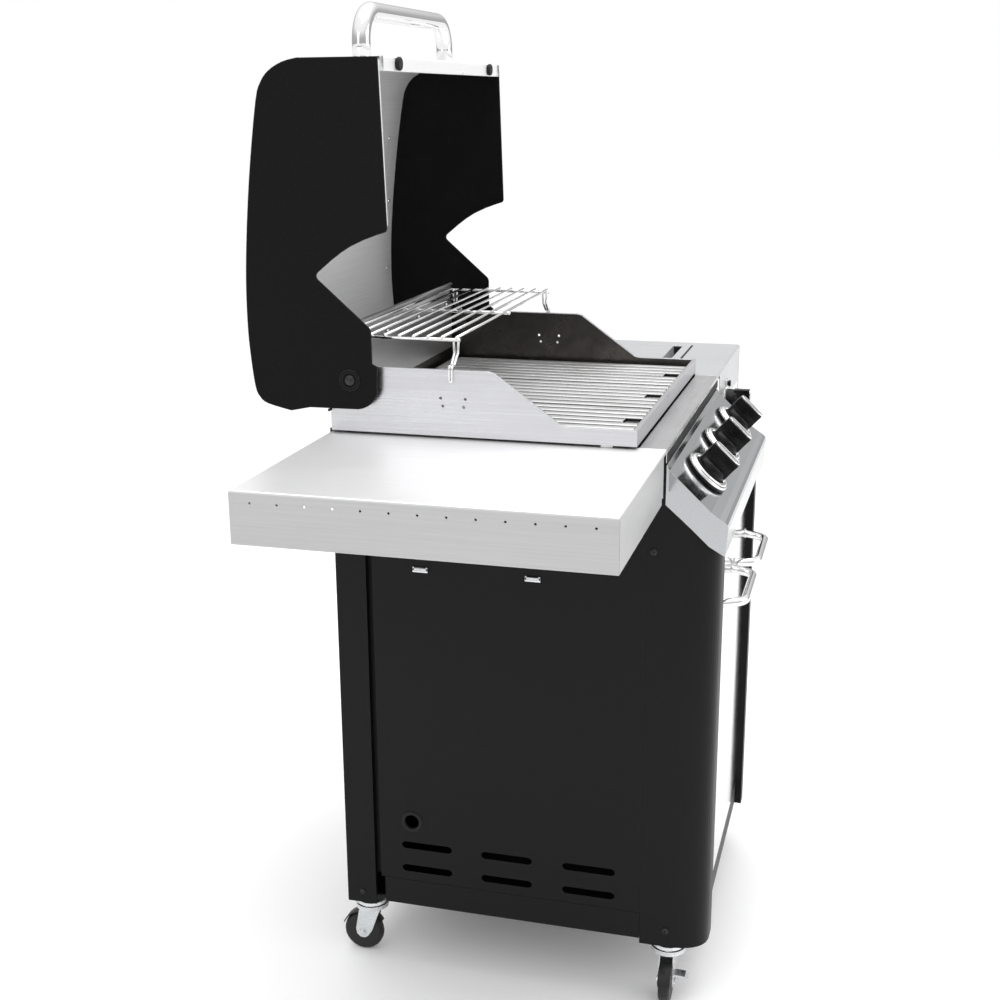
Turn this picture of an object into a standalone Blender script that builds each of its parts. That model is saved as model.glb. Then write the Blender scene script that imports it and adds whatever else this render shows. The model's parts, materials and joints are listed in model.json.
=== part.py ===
"""Three-burner gas barbecue grill on a cabinet cart, lid open.

Metres, +Z up, ground at Z = 0, front of the grill toward -Y, its left end at -X.
"""
import math

import bmesh
import bpy
from mathutils import Matrix, Vector

# ---- driving dimensions ----
SHEET = 0.0012
HEAVY_SHEET = 0.0015
GAP = 0.0003

CABINET_HALF = 0.292
CABINET_REAR = 0.271
POST_BOTTOM = 0.105
RAIL_BOTTOM = 0.1135
RAIL_TOP = 0.160
FRONT_POST_BACK = -0.2257
FRONT_POST_FACE = -0.3315
POST_INNER = 0.222

SHELF_HALF = 0.653
SHELF_FRONT = -0.250
SHELF_REAR = 0.268
SHELF_TOP = 0.9192
SHELF_BOTTOM = 0.8457

FIREBOX_HALF = 0.3045
FIREBOX_FRONT = -0.208
FIREBOX_REAR = 0.263
JACKET_BOTTOM = 0.923
CABINET_TOP = JACKET_BOTTOM - 0.0005
FIREBOX_LOW_TOP = 0.9468
FIREBOX_HIGH_TOP = 1.0234
RIM_WIDTH = 0.006
TUB_HALF = 0.2785
TUB_FLOOR = 0.800

GRATE_TOP = 0.937
GRATE_WIDTH = 0.187
GRATE_PITCH = 0.190
GRATE_THICKNESS = 0.006
BAR_PITCH = 0.0267
BAR_SLOT = 0.007

BURNER_HEIGHT = 0.838
BURNER_RADIUS = 0.0125

LID_HALF = 0.3184
LID_WALL = 0.002
LID_LIP = 0.009
LID_AXIS = (0.2256, 1.0037)

DOOR_FACE = -0.321
DOOR_DEPTH = 0.018
DOOR_BOTTOM = 0.152
DOOR_TOP = 0.757
DOOR_EDGE = 0.2195
DOOR_AXIS = (0.216, -0.317)
DOOR_HANDLE_FEET = (0.015, 0.192)
DOOR_HANDLE_ENDS = (0.032, 0.171)
DOOR_HANDLE_BAR = -0.3592
DOOR_HANDLE_RADIUS = 0.0071

PANEL_TILT = math.atan2(0.685, 0.729)
KNOB_SPACING = 0.179
KNOB_MIDDLE = 0.0105
KNOB_SEAT = (-0.2910, 0.8536)
KNOB_LIFT = 0.0115
KNOB_HEIGHT = 0.0375
KNOB_GRIP = 0.0250
SIDE_KNOB_AXIS = (0.42, 0.849)
SIDE_COVER_AXIS = (0.1378, 0.9182)

CASTER_X = 0.262
CASTER_REAR_Y = 0.2396
CASTER_FRONT_Y = -0.269
CASTER_TRAIL = 0.0155
WHEEL_RADIUS = 0.0345
WHEEL_WIDTH = 0.018

# The pieces are drawn about the cabinet, whose middle is this far behind the middle of the whole grill.
DEPTH_CENTRE = 0.0105

LEFT = -1
RIGHT = 1

# ---- clean start ----
for old in list(bpy.data.objects):
    bpy.data.objects.remove(old, do_unlink=True)

PARTS = bpy.data.collections.new("Gas_Barbecue_Grill")
CUTTERS = bpy.data.collections.new("Cutters")
for group in (PARTS, CUTTERS):
    bpy.context.scene.collection.children.link(group)


def paint(name, colour, metallic, roughness):
    """A Principled material."""
    material = bpy.data.materials.new(name)
    material.use_nodes = True
    shader = material.node_tree.nodes["Principled BSDF"]
    shader.inputs["Base Color"].default_value = (*colour, 1.0)
    shader.inputs["Metallic"].default_value = metallic
    shader.inputs["Roughness"].default_value = roughness
    material.diffuse_color = (*colour, 1.0)
    return material


BLACK_STEEL = paint("black_painted_steel", (0.020, 0.020, 0.022), 0.0, 0.45)
BRUSHED = paint("brushed_stainless", (0.62, 0.62, 0.60), 1.0, 0.30)
POLISHED = paint("polished_stainless", (0.70, 0.70, 0.69), 1.0, 0.12)
CHROME = paint("chrome_plate", (0.80, 0.80, 0.80), 1.0, 0.06)
LID_BLACK = paint("textured_black_casting", (0.018, 0.018, 0.019), 0.0, 0.55)
GRATE_STEEL = paint("grate_stainless", (0.50, 0.49, 0.47), 1.0, 0.35)
BURNER_STEEL = paint("burner_steel", (0.42, 0.40, 0.38), 1.0, 0.45)
KNOB_BLACK = paint("black_knob_plastic", (0.012, 0.012, 0.012), 0.0, 0.30)
BRASS = paint("brass", (0.66, 0.50, 0.22), 1.0, 0.30)
ZINC = paint("zinc_plate", (0.66, 0.67, 0.68), 1.0, 0.35)
TYRE_BLACK = paint("black_wheel_plastic", (0.015, 0.015, 0.016), 0.0, 0.50)
LINER_BLACK = paint("black_enamel", (0.025, 0.024, 0.023), 0.0, 0.35)
GALVANISED = paint("galvanised_steel", (0.55, 0.56, 0.57), 1.0, 0.40)


# ---- shape helpers ----
def part(name, mesh, material, origin=(0, 0, 0), smooth=False):
    """A named part whose mesh, drawn in place, is taken about its origin."""
    mesh.transform(Matrix.Translation(-Vector(origin)))
    mesh.materials.clear()
    mesh.materials.append(material)
    mesh.shade_flat()
    if smooth:
        mesh.shade_smooth()
        mesh.set_sharp_from_angle(angle=math.radians(35))
    made = bpy.data.objects.new(name, mesh)
    made.location = origin
    PARTS.objects.link(made)
    return made


def cutter(name, mesh):
    """A tool body, kept in place and never rendered."""
    made = bpy.data.objects.new(name, mesh)
    made.hide_render = True
    made.display_type = "WIRE"
    CUTTERS.objects.link(made)
    return made


def boolean(target, operation, name, mesh):
    """One exact Boolean of a tool body on a part."""
    modifier = target.modifiers.new(name, "BOOLEAN")
    modifier.operation = operation
    modifier.solver = "EXACT"
    modifier.object = cutter(target.name + "_" + name, mesh)
    return target


def cut(target, name, mesh):
    return boolean(target, "DIFFERENCE", name, mesh)


def add(target, name, mesh):
    return boolean(target, "UNION", name, mesh)


def baked(mesh_tool, name):
    """The mesh of a bmesh, with outward faces."""
    bmesh.ops.recalc_face_normals(mesh_tool, faces=mesh_tool.faces)
    mesh = bpy.data.meshes.new(name)
    mesh_tool.to_mesh(mesh)
    mesh_tool.free()
    return mesh


def merged(meshes, name="tools"):
    """Separate tool bodies in one mesh."""
    tool = bmesh.new()
    for mesh in meshes:
        tool.from_mesh(mesh)
        bpy.data.meshes.remove(mesh)
    return baked(tool, name)


def box(x_range, y_range, z_range, round_edges=None, radius=0.0025):
    """A block between six planes, with the chosen edges rounded."""
    tool = bmesh.new()
    bmesh.ops.create_cube(tool, size=1.0)
    spans = [(min(span), max(span)) for span in (x_range, y_range, z_range)]
    for vertex in tool.verts:
        for axis, (low, high) in enumerate(spans):
            vertex.co[axis] = high if vertex.co[axis] > 0 else low
    if round_edges:
        chosen = [e for e in tool.edges if round_edges((e.verts[0].co + e.verts[1].co) / 2)]
        bmesh.ops.bevel(tool, geom=chosen, offset=radius, segments=2, affect="EDGES", profile=0.5)
    return baked(tool, "box")


AXIS_TURN = {
    "X": Matrix(((0, 0, 1, 0), (1, 0, 0, 0), (0, 1, 0, 0), (0, 0, 0, 1))),
    "Y": Matrix(((1, 0, 0, 0), (0, 0, -1, 0), (0, 1, 0, 0), (0, 0, 0, 1))),
    "Z": Matrix.Identity(4),
}


def prism(loops, axis, low, high):
    """An outline with optional holes, drawn across an axis and extruded along it.

    Outlines are (Y, Z) across X, (X, Z) across Y and (X, Y) across Z.
    """
    curve = bpy.data.curves.new("outline", "CURVE")
    curve.dimensions = "2D"
    curve.fill_mode = "BOTH"
    curve.extrude = abs(high - low) / 2
    for loop in loops:
        spline = curve.splines.new("POLY")
        spline.points.add(len(loop) - 1)
        for point, (u, v) in zip(spline.points, loop):
            point.co = (u, v, 0, 1)
        spline.use_cyclic_u = True
    sketch = bpy.data.objects.new("sketch", curve)
    bpy.context.scene.collection.objects.link(sketch)
    shape = evaluated_mesh(sketch)
    middle = (low + high) / 2
    shift = Vector((0, 0, -middle if axis == "Y" else middle))
    shape.transform(AXIS_TURN[axis] @ Matrix.Translation(shift))
    return shape


def evaluated_mesh(sketch):
    """The welded mesh of a curve object, which is then dropped."""
    graph = bpy.context.evaluated_depsgraph_get()
    graph.update()
    mesh = bpy.data.meshes.new_from_object(sketch.evaluated_get(graph))
    bpy.data.objects.remove(sketch, do_unlink=True)
    tool = bmesh.new()
    tool.from_mesh(mesh)
    bmesh.ops.remove_doubles(tool, verts=tool.verts, dist=0.00001)
    bpy.data.meshes.remove(mesh)
    return baked(tool, "shape")


def rod(start, end, radius, segments=12, end_radius=None):
    """A round bar or cone between two points."""
    start = Vector(start)
    end = Vector(end)
    tool = bmesh.new()
    far_radius = radius if end_radius is None else end_radius
    bmesh.ops.create_cone(tool, cap_ends=True, segments=segments, radius1=radius,
                          radius2=far_radius, depth=(end - start).length)
    turn = (end - start).to_track_quat("Z", "Y").to_matrix().to_4x4()
    bmesh.ops.transform(tool, matrix=Matrix.Translation((start + end) / 2) @ turn,
                        verts=tool.verts)
    return baked(tool, "rod")


def bent_tube(path, radius, resolution=2):
    """A round bar along a path of points, its ends closed."""
    curve = bpy.data.curves.new("bar", "CURVE")
    curve.dimensions = "3D"
    curve.bevel_depth = radius
    curve.bevel_resolution = resolution
    curve.use_fill_caps = True
    spline = curve.splines.new("POLY")
    spline.points.add(len(path) - 1)
    for point, place in zip(spline.points, path):
        point.co = (*place, 1)
    sketch = bpy.data.objects.new("sketch", curve)
    bpy.context.scene.collection.objects.link(sketch)
    return evaluated_mesh(sketch)


def turned(profile, steps=32):
    """A profile of (radius, height) spun about Z, from top axis point to bottom axis point."""
    tool = bmesh.new()
    points = [tool.verts.new((radius, 0, height)) for radius, height in profile]
    for first, second in zip(points, points[1:]):
        tool.edges.new((first, second))
    mesh = bpy.data.meshes.new("profile")
    tool.to_mesh(mesh)
    tool.free()
    sketch = bpy.data.objects.new("sketch", mesh)
    bpy.context.scene.collection.objects.link(sketch)
    screw = sketch.modifiers.new("spin", "SCREW")
    screw.steps = steps
    screw.render_steps = steps
    screw.use_merge_vertices = True
    screw.merge_threshold = 0.00005
    screw.use_normal_calculate = True
    return evaluated_mesh(sketch)


def circle(u, v, radius, count=12):
    turns = [2 * math.pi * step / count for step in range(count)]
    return [(u + radius * math.cos(turn), v + radius * math.sin(turn)) for turn in turns]


def slot(u_first, u_last, v_middle, height, steps=4):
    """The outline of a slot with round ends."""
    radius = height / 2
    outline = []
    for step in range(steps + 1):
        turn = -math.pi / 2 + math.pi * step / steps
        outline.append((u_last - radius + radius * math.cos(turn), v_middle + radius * math.sin(turn)))
    for step in range(steps + 1):
        turn = math.pi / 2 + math.pi * step / steps
        outline.append((u_first + radius + radius * math.cos(turn), v_middle + radius * math.sin(turn)))
    return outline


def offset_path(path, distance):
    """An open path moved sideways, to its left for a positive distance."""
    moved = []
    for index, point in enumerate(path):
        here = Vector(point)
        directions = []
        if index > 0:
            directions.append((here - Vector(path[index - 1])).normalized())
        if index < len(path) - 1:
            directions.append((Vector(path[index + 1]) - here).normalized())
        normals = [Vector((-way.y, way.x)) for way in directions]
        mean = sum(normals, Vector((0, 0))).normalized()
        reach = distance / max(mean.dot(normals[0]), 0.3)
        moved.append(tuple(here + mean * reach))
    return moved


def sheet_outline(path, thickness):
    """The closed section of a folded sheet lying to the left of a path."""
    return list(path) + offset_path(path, thickness)[::-1]


def mirrored(outline, side):
    return [(side * u, v) for u, v in outline]


def round_corner(before, corner, after, radius, steps=4):
    """Points of an arc that rounds the corner of a path in space."""
    corner = Vector(corner)
    back = (Vector(before) - corner).normalized()
    ahead = (Vector(after) - corner).normalized()
    half = back.angle(ahead) / 2
    reach = radius / math.tan(half)
    centre = corner + (back + ahead).normalized() * (radius / math.sin(half))
    first = corner + back * reach - centre
    last = corner + ahead * reach - centre
    sweep = first.angle(last)
    points = []
    for step in range(steps + 1):
        share = step / steps
        blend = first * math.sin((1 - share) * sweep) + last * math.sin(share * sweep)
        points.append(tuple(centre + blend / math.sin(sweep)))
    return points


def rounded_path(corners, radius, steps=4):
    """A path with its inner corners rounded."""
    path = [corners[0]]
    for before, corner, after in zip(corners, corners[1:], corners[2:]):
        path += round_corner(before, corner, after, radius, steps)
    path.append(corners[-1])
    return path


def hang(child, parent):
    """Parents a part without moving it."""
    turn = parent.rotation_euler.to_matrix()
    child.location = turn.inverted() @ (child.location - parent.location)
    if parent.rotation_euler.to_matrix() == child.rotation_euler.to_matrix():
        child.rotation_euler = (0, 0, 0)
    child.parent = parent


# ---- cart ----
def front_post_section(inset=0.0):
    """Plan path of a front post from its outer rear edge round to its inner rear edge."""
    steps = 14
    path = [(CABINET_HALF - inset, FRONT_POST_BACK)]
    for step in range(steps + 1):
        turn = math.pi / 2 * step / steps
        across = (0.048 - inset) * math.cos(turn) ** 0.83
        along = (0.0658 - inset) * math.sin(turn) ** 0.83
        path.append((0.244 + across, -0.2657 - along))
    path.append((POST_INNER + inset, FRONT_POST_FACE + inset))
    path.append((POST_INNER + inset, FRONT_POST_BACK))
    return path


PANEL_FACE = [(-0.2500, 0.8960), (-0.2545, 0.8879), (-0.3166, 0.8288), (-0.3290, 0.8198),
              (-0.3370, 0.8150), (-0.3410, 0.8105), (-0.3425, 0.8050), (-0.3390, 0.7635)]
PANEL_BACK = [(-0.3355, 0.7650), (-0.3150, 0.7770), (-0.2890, 0.8015), (-0.2500, 0.8360)]


def make_front_post(side, name):
    section = front_post_section() + front_post_section(HEAVY_SHEET)[::-1]
    post = part(name, prism([mirrored(section, side)], "Z", POST_BOTTOM, 0.895), BLACK_STEEL)
    clear = [(-0.2494, 0.900), (-0.350, 0.900), (-0.350, 0.7645), (-0.3345, 0.7645), (-0.3145, 0.7760),
             (-0.2885, 0.8005), (-0.2494, 0.8355)]
    return cut(post, "under_panel", prism([clear], "X", side * 0.20, side * 0.30))


def make_rear_post(side, name):
    inner = CABINET_HALF - HEAVY_SHEET
    rear = CABINET_REAR - HEAVY_SHEET
    section = [(0.284, 0.2207), (CABINET_HALF, 0.2207), (CABINET_HALF, CABINET_REAR), (0.250, CABINET_REAR),
               (0.250, rear), (inner, rear), (inner, 0.2222), (0.284, 0.2222)]
    return part(name, prism([mirrored(section, side)], "Z", POST_BOTTOM, CABINET_TOP), BLACK_STEEL)


def make_side_panel(side, name):
    outer = [(0.280, -0.2254), (CABINET_HALF, -0.2254), (CABINET_HALF, 0.2095), (0.281, 0.2095), (0.281, 0.240)]
    inner = [(0.2798, 0.240), (0.2798, 0.2083), (0.2908, 0.2083), (0.2908, -0.2242), (0.280, -0.2242)]
    panel = part(name, prism([mirrored(outer + inner, side)], "Z", RAIL_TOP + GAP, CABINET_TOP), BLACK_STEEL)
    outlines = []
    for height in (0.224, 0.182):
        for first, last in ((0.0859, 0.1725), (-0.0490, 0.0365), (-0.1848, -0.0986)):
            outlines.append(slot(first, last, height, 0.0125))
    if side == LEFT:
        outlines.append(circle(0.1539, 0.2678, 0.013))
    for low in (0.1173, -0.0628):
        outlines.append([(low, 0.7006), (low + 0.0245, 0.7006), (low + 0.0245, 0.7080), (low, 0.7080)])
    tools = [prism([outline], "X", side * 0.270, side * 0.300) for outline in outlines]
    tools.append(box((side * 0.270, side * 0.300), (-0.240, -0.2085), (0.8980, 0.9300)))
    return cut(panel, "openings", merged(tools))


def shelf_plan(inset=0.0):
    """Plan of the bottom shelf, stepped in at the four posts."""
    wide = 0.2915 - inset
    front_half = 0.2213 - inset
    rear_half = 0.2490 - inset
    right = [(front_half, -0.3205 + inset), (front_half, -0.2252 + inset), (wide, -0.2250 + inset),
             (wide, 0.2037 - inset), (rear_half, 0.2039 - inset), (rear_half, 0.2685 - inset)]
    return right + [(-x, y) for x, y in right[::-1]]


def make_bottom_shelf():
    shelf = part("bottom_shelf", prism([shelf_plan()], "Z", RAIL_BOTTOM, RAIL_TOP - 0.0008), BLACK_STEEL)
    cut(shelf, "tray", prism([shelf_plan(SHEET)], "Z", RAIL_BOTTOM + SHEET, RAIL_TOP + 0.01))
    cut(shelf, "door_sill", box((-0.2300, 0.2300), (-0.330, -0.2262), (0.1497, 0.170)))
    add(shelf, "sill", box((-0.2209, 0.2209), (-0.3201, -0.3060), (0.1140, 0.1500)))
    tongues = []
    holes = []
    for side in (LEFT, RIGHT):
        tongues.append(box((side * 0.2400, side * 0.2850), (-0.2850, -0.2200), (0.1130, 0.1165)))
        tongues.append(box((side * 0.2350, side * 0.2780), (0.2000, 0.2560), (0.1130, 0.1165)))
        holes.append(rod((side * CASTER_X, CASTER_FRONT_Y, 0.100), (side * CASTER_X, CASTER_FRONT_Y, 0.125), 0.0058))
        holes.append(rod((side * CASTER_X, CASTER_REAR_Y, 0.100), (side * CASTER_X, CASTER_REAR_Y, 0.125), 0.0058))
        holes.append(rod((side * DOOR_AXIS[0], DOOR_AXIS[1], 0.144), (side * DOOR_AXIS[0], DOOR_AXIS[1], 0.160),
                         0.0023))
    add(shelf, "corner_plates", merged(tongues))
    return cut(shelf, "holes", merged(holes))


def make_back_panel():
    path = [(-0.2487, 0.2570), (-0.2487, 0.2690), (0.2487, 0.2690), (0.2487, 0.2570)]
    panel = part("back_panel", prism([sheet_outline(path, -SHEET)], "Z", RAIL_TOP + 0.0005, 0.700), BLACK_STEEL)
    slots = [prism([slot(-0.20, 0.20, 0.600 + 0.03 * row, 0.012)], "Y", 0.250, 0.280) for row in range(3)]
    return cut(panel, "vents", merged(slots))


make_front_post(LEFT, "front_post_left")
make_front_post(RIGHT, "front_post_right")
make_rear_post(LEFT, "rear_post_left")
make_rear_post(RIGHT, "rear_post_right")
make_side_panel(LEFT, "side_panel_left")
make_side_panel(RIGHT, "side_panel_right")
make_bottom_shelf()
make_back_panel()


# ---- side shelves ----
def make_shelf(side, name):
    inner = 0.2925
    blank = box((side * inner, side * SHELF_HALF), (SHELF_FRONT, SHELF_REAR), (SHELF_BOTTOM, SHELF_TOP),
                lambda edge: edge.z > SHELF_TOP - 0.001 and abs(edge.x) > inner + 0.001, 0.003)
    shelf = part(name, blank, BRUSHED)
    cut(shelf, "hollow", box((side * (inner + SHEET), side * (SHELF_HALF - SHEET)),
                             (SHELF_FRONT + SHEET, SHELF_REAR - SHEET), (0.830, SHELF_TOP - HEAVY_SHEET)))
    cut(shelf, "front_notch", box((side * 0.285, side * 0.330), (-0.260, SHELF_FRONT + 0.004), (0.830, 0.914)))
    if side == LEFT:
        holes = [rod((-0.660, 0.2383 - 0.0383 * step, 0.9036), (-0.645, 0.2383 - 0.0383 * step, 0.9036), 0.0019, 8)
                 for step in range(13)]
        cut(shelf, "row_of_holes", merged(holes))
    return shelf


def make_right_shelf():
    shelf = make_shelf(RIGHT, "right_shelf")
    add(shelf, "valve_tab", prism([[(0.394, 0.822), (0.446, 0.822), (0.452, 0.830), (0.452, 0.860),
                                    (0.388, 0.860), (0.388, 0.830)]], "Y", SHELF_FRONT, SHELF_FRONT + SHEET))
    cut(shelf, "burner_bay", box((0.345, 0.604), (-0.140, 0.140), (0.900, 0.930)))
    cut(shelf, "seam", box((0.333, 0.621), (-0.1605, -0.1555), (0.900, 0.930)))
    tools = [rod((SIDE_KNOB_AXIS[0], -0.260, SIDE_KNOB_AXIS[1]), (SIDE_KNOB_AXIS[0], -0.240, SIDE_KNOB_AXIS[1]),
                 0.0046, 16),
             rod((0.445, -0.260, 0.877), (0.445, -0.240, 0.877), 0.0045, 12)]
    return cut(shelf, "front_holes", merged(tools))


make_shelf(LEFT, "left_shelf")
make_right_shelf()


# ---- fire box ----
def firebox_side(drop=0.0):
    """Side view of the fire box from its low front to its high rear, seen across X."""
    return [(FIREBOX_FRONT, FIREBOX_LOW_TOP - drop), (-0.1030, FIREBOX_LOW_TOP - drop), (-0.0940, 0.9493 - drop),
            (0.0060, FIREBOX_HIGH_TOP - 0.0021 - drop), (0.0150, FIREBOX_HIGH_TOP - drop),
            (FIREBOX_REAR, FIREBOX_HIGH_TOP - drop)]


def make_jacket():
    top = firebox_side()
    outline = [(FIREBOX_REAR, JACKET_BOTTOM), (FIREBOX_FRONT, JACKET_BOTTOM)] + top
    jacket = part("firebox_jacket", prism([outline], "X", -FIREBOX_HALF, FIREBOX_HALF), BRUSHED)
    wall = HEAVY_SHEET
    under = [(y, z) for y, z in firebox_side(wall)]
    under[0] = (FIREBOX_FRONT + wall, under[0][1])
    under[-1] = (FIREBOX_REAR - wall, under[-1][1])
    hollow = [(FIREBOX_REAR - wall, 0.915), (FIREBOX_FRONT + wall, 0.915)] + under
    cut(jacket, "hollow", prism([hollow], "X", -FIREBOX_HALF + wall, FIREBOX_HALF - wall))
    cut(jacket, "mouth", box((-FIREBOX_HALF + RIM_WIDTH, FIREBOX_HALF - RIM_WIDTH),
                             (FIREBOX_FRONT + RIM_WIDTH, FIREBOX_REAR - RIM_WIDTH), (0.900, 1.050)))
    tools = []
    for side in (LEFT, RIGHT):
        ends = (side * 0.290, side * 0.310)
        for y, z in ((0.0879, 0.9806), (0.0498, 0.9805), (0.0846, 0.9686), (0.0524, 0.9682)):
            tools.append(prism([circle(y, z, 0.0024, 8)], "X", *ends))
        tools.append(prism([circle(*LID_AXIS, 0.0046, 12)], "X", *ends))
    return cut(jacket, "side_holes", merged(tools))


def make_tub():
    half_top = FIREBOX_HALF - HEAVY_SHEET - GAP
    profile = [(-half_top, 1.05), (-half_top, JACKET_BOTTOM), (-TUB_HALF, JACKET_BOTTOM - 0.0005),
               (-TUB_HALF, 0.850), (-0.200, TUB_FLOOR)]
    outer = profile + [(-x, z) for x, z in profile[::-1]]
    wall = HEAVY_SHEET
    inner_path = [(-half_top + wall, 1.06), (-half_top + wall, JACKET_BOTTOM + wall),
                  (-TUB_HALF + wall, JACKET_BOTTOM - 0.0005 + wall), (-TUB_HALF + wall, 0.851),
                  (-0.1996, TUB_FLOOR + wall)]
    inner = inner_path + [(-x, z) for x, z in inner_path[::-1]]
    front = FIREBOX_FRONT + 0.0018
    rear = FIREBOX_REAR - 0.0018
    tub = part("firebox_tub", prism([outer], "Y", front, rear), LINER_BLACK)
    cut(tub, "hollow", prism([inner], "Y", front + wall, rear - wall))
    above = firebox_side(0.0018)
    above[0] = (-0.250, above[0][1])
    above[-1] = (0.300, above[-1][1])
    cut(tub, "stepped_top", prism([above + [(0.300, 1.100), (-0.250, 1.100)]], "X", -0.330, 0.330))
    ledges = [box((-0.284, 0.284), (-0.2060, -0.1930), (0.9240, 0.9262)),
              box((-0.284, 0.284), (0.2500, 0.2610), (0.9240, 0.9262))]
    for side in (LEFT, RIGHT):
        runner = sheet_outline([(0.0580, 0.7735), (0.0655, 0.7735), (0.0655, 0.8008)], HEAVY_SHEET)
        ledges.append(prism([mirrored(runner, side)], "Y", -0.150, 0.235))
    add(tub, "ledges", merged(ledges))
    tools = [box((-0.045, 0.045), (-0.120, 0.200), (0.790, 0.810))]
    for column in (-1, 0, 1):
        tools.append(rod((GRATE_PITCH * column, -0.220, BURNER_HEIGHT), (GRATE_PITCH * column, -0.190, BURNER_HEIGHT),
                         0.0150, 16))
    for side in (LEFT, RIGHT):
        tools.append(prism([circle(*LID_AXIS, 0.0046, 12)], "X", side * 0.290, side * 0.310))
        for y, z in ((0.0879, 0.9806), (0.0498, 0.9805), (0.0846, 0.9686), (0.0524, 0.9682)):
            tools.append(prism([circle(y, z, 0.0024, 8)], "X", side * 0.290, side * 0.310))
    return cut(tub, "holes", merged(tools))


def make_rear_baffle():
    path = [(0.2500, 1.0750), (0.2540, 1.0770), (0.2540, 0.9560)]
    section = sheet_outline(path, -0.0010)
    return part("rear_baffle", prism([section], "X", -0.280, 0.280), BRUSHED)


def make_grate(column, name):
    middle = GRATE_PITCH * column
    low = middle - GRATE_WIDTH / 2
    high = middle + GRATE_WIDTH / 2
    plan = [(low, -0.1970), (high, -0.1970), (high, 0.2360), (high - 0.012, 0.2360), (high - 0.012, 0.2480),
            (low + 0.012, 0.2480), (low + 0.012, 0.2360), (low, 0.2360)]
    under = GRATE_TOP - GRATE_THICKNESS
    grate = part(name, prism([plan], "Z", under, GRATE_TOP), GRATE_STEEL)
    slots = []
    for gap_number in range(6):
        line = middle + (gap_number - 2.5) * BAR_PITCH
        slots.append(box((line - BAR_SLOT / 2, line + BAR_SLOT / 2), (-0.186, 0.232), (0.920, 0.950)))
    cut(grate, "slots", merged(slots))
    cut(grate, "lift_notch", box((middle - 0.014, middle + 0.014), (-0.1930, -0.1660), (0.920, 0.950)))
    ribs = [box((low + 0.004, high - 0.004), (y - 0.004, y + 0.004), (under - 0.0030, under + 0.0010))
            for y in (-0.090, 0.140)]
    return add(grate, "cross_ribs", merged(ribs))


def make_burner(column, name):
    """A tube burner, its open venturi at the front reaching through the fire box wall."""
    middle = GRATE_PITCH * column
    start = -0.228
    profile = [(0, 0.463), (0.0110, 0.463), (BURNER_RADIUS, 0.460), (BURNER_RADIUS, 0.070), (0.0095, 0.050),
               (0.0110, 0.022), (0.0138, 0.006), (0.0138, 0.0), (0.0118, 0.0), (0.0095, 0.022), (0, 0.030)]
    mesh = turned(profile, 16)
    mesh.transform(Matrix.Translation((middle, start, BURNER_HEIGHT)) @ Matrix.Rotation(-math.pi / 2, 4, "X"))
    return part(name, mesh, BURNER_STEEL, (middle, 0.0, BURNER_HEIGHT), True)


def make_heat_tent(column, name):
    middle = GRATE_PITCH * column
    path = [(middle - 0.050, 0.8720), (middle - 0.045, 0.8720), (middle - 0.006, 0.9080), (middle + 0.006, 0.9080),
            (middle + 0.045, 0.8720), (middle + 0.050, 0.8720)]
    tent = part(name, prism([sheet_outline(path, -0.0010)], "Y", -0.185, 0.240), GRATE_STEEL)
    slots = [box((middle - 0.100, middle + 0.100), (y - 0.020, y + 0.020), (0.8860, 0.8900))
             for y in (-0.130, -0.050, 0.030, 0.110, 0.190)]
    return cut(tent, "vents", merged(slots))


make_jacket()
make_tub()
make_rear_baffle()
for column, word in ((-1, "left"), (0, "middle"), (1, "right")):
    make_burner(column, "burner_" + word)
    make_heat_tent(column, "heat_tent_" + word)
    make_grate(column, "cooking_grate_" + word)


def make_warming_rack():
    """Chrome wires across, on three rails, with a hooked leg at each front corner."""
    wires = [rod((-0.284, 0.0687 + 0.0225 * step, 1.0682), (0.284, 0.0687 + 0.0225 * step, 1.0682), 0.0021, 6)
             for step in range(9)]
    rails = [rod((x, 0.0640, 1.0642), (x, 0.2530, 1.0642), 0.0026, 6) for x in (-0.2800, 0.0050, 0.2800)]
    legs = []
    for side in (LEFT, RIGHT):
        for y in (0.0750, 0.2440):
            corners = [(side * 0.2770, y, 1.0655), (side * 0.2770, y, 1.0440), (side * 0.2950, y, 1.0290),
                       (side * 0.3071, y, 1.0290), (side * 0.3071, y, 1.0060)]
            legs.append(bent_tube(rounded_path(corners, 0.0045, 2), 0.0020, 1))
    rack = part("warming_rack", wires[0], CHROME, (0.0, 0.0687, 1.0682), True)
    add(rack, "rails", merged(rails))
    add(rack, "wires", merged(wires[1:]))
    return add(rack, "legs", merged(legs))


make_warming_rack()


# ---- front trim, control panel, gas train ----
def make_front_trim():
    path = [(-0.2093, SHELF_TOP - 0.010), (-0.2093, SHELF_TOP), (-0.2490, SHELF_TOP), (-0.2500, SHELF_TOP - 0.0010),
            (-0.2500, 0.8990)]
    return part("front_trim", prism([sheet_outline(path, SHEET)], "X", -0.2915, 0.2915), BRUSHED)


def knob_places():
    return [KNOB_MIDDLE + KNOB_SPACING * step for step in (-1, 0, 1)]


def knob_frame(x, lift=0.0):
    """Frame on the sloping panel: Z out of the face."""
    normal = Vector((0, -math.sin(PANEL_TILT), math.cos(PANEL_TILT)))
    seat = Vector((x, KNOB_SEAT[0], KNOB_SEAT[1])) + normal * lift
    return Matrix.Translation(seat) @ Matrix.Rotation(PANEL_TILT, 4, "X")


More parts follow.
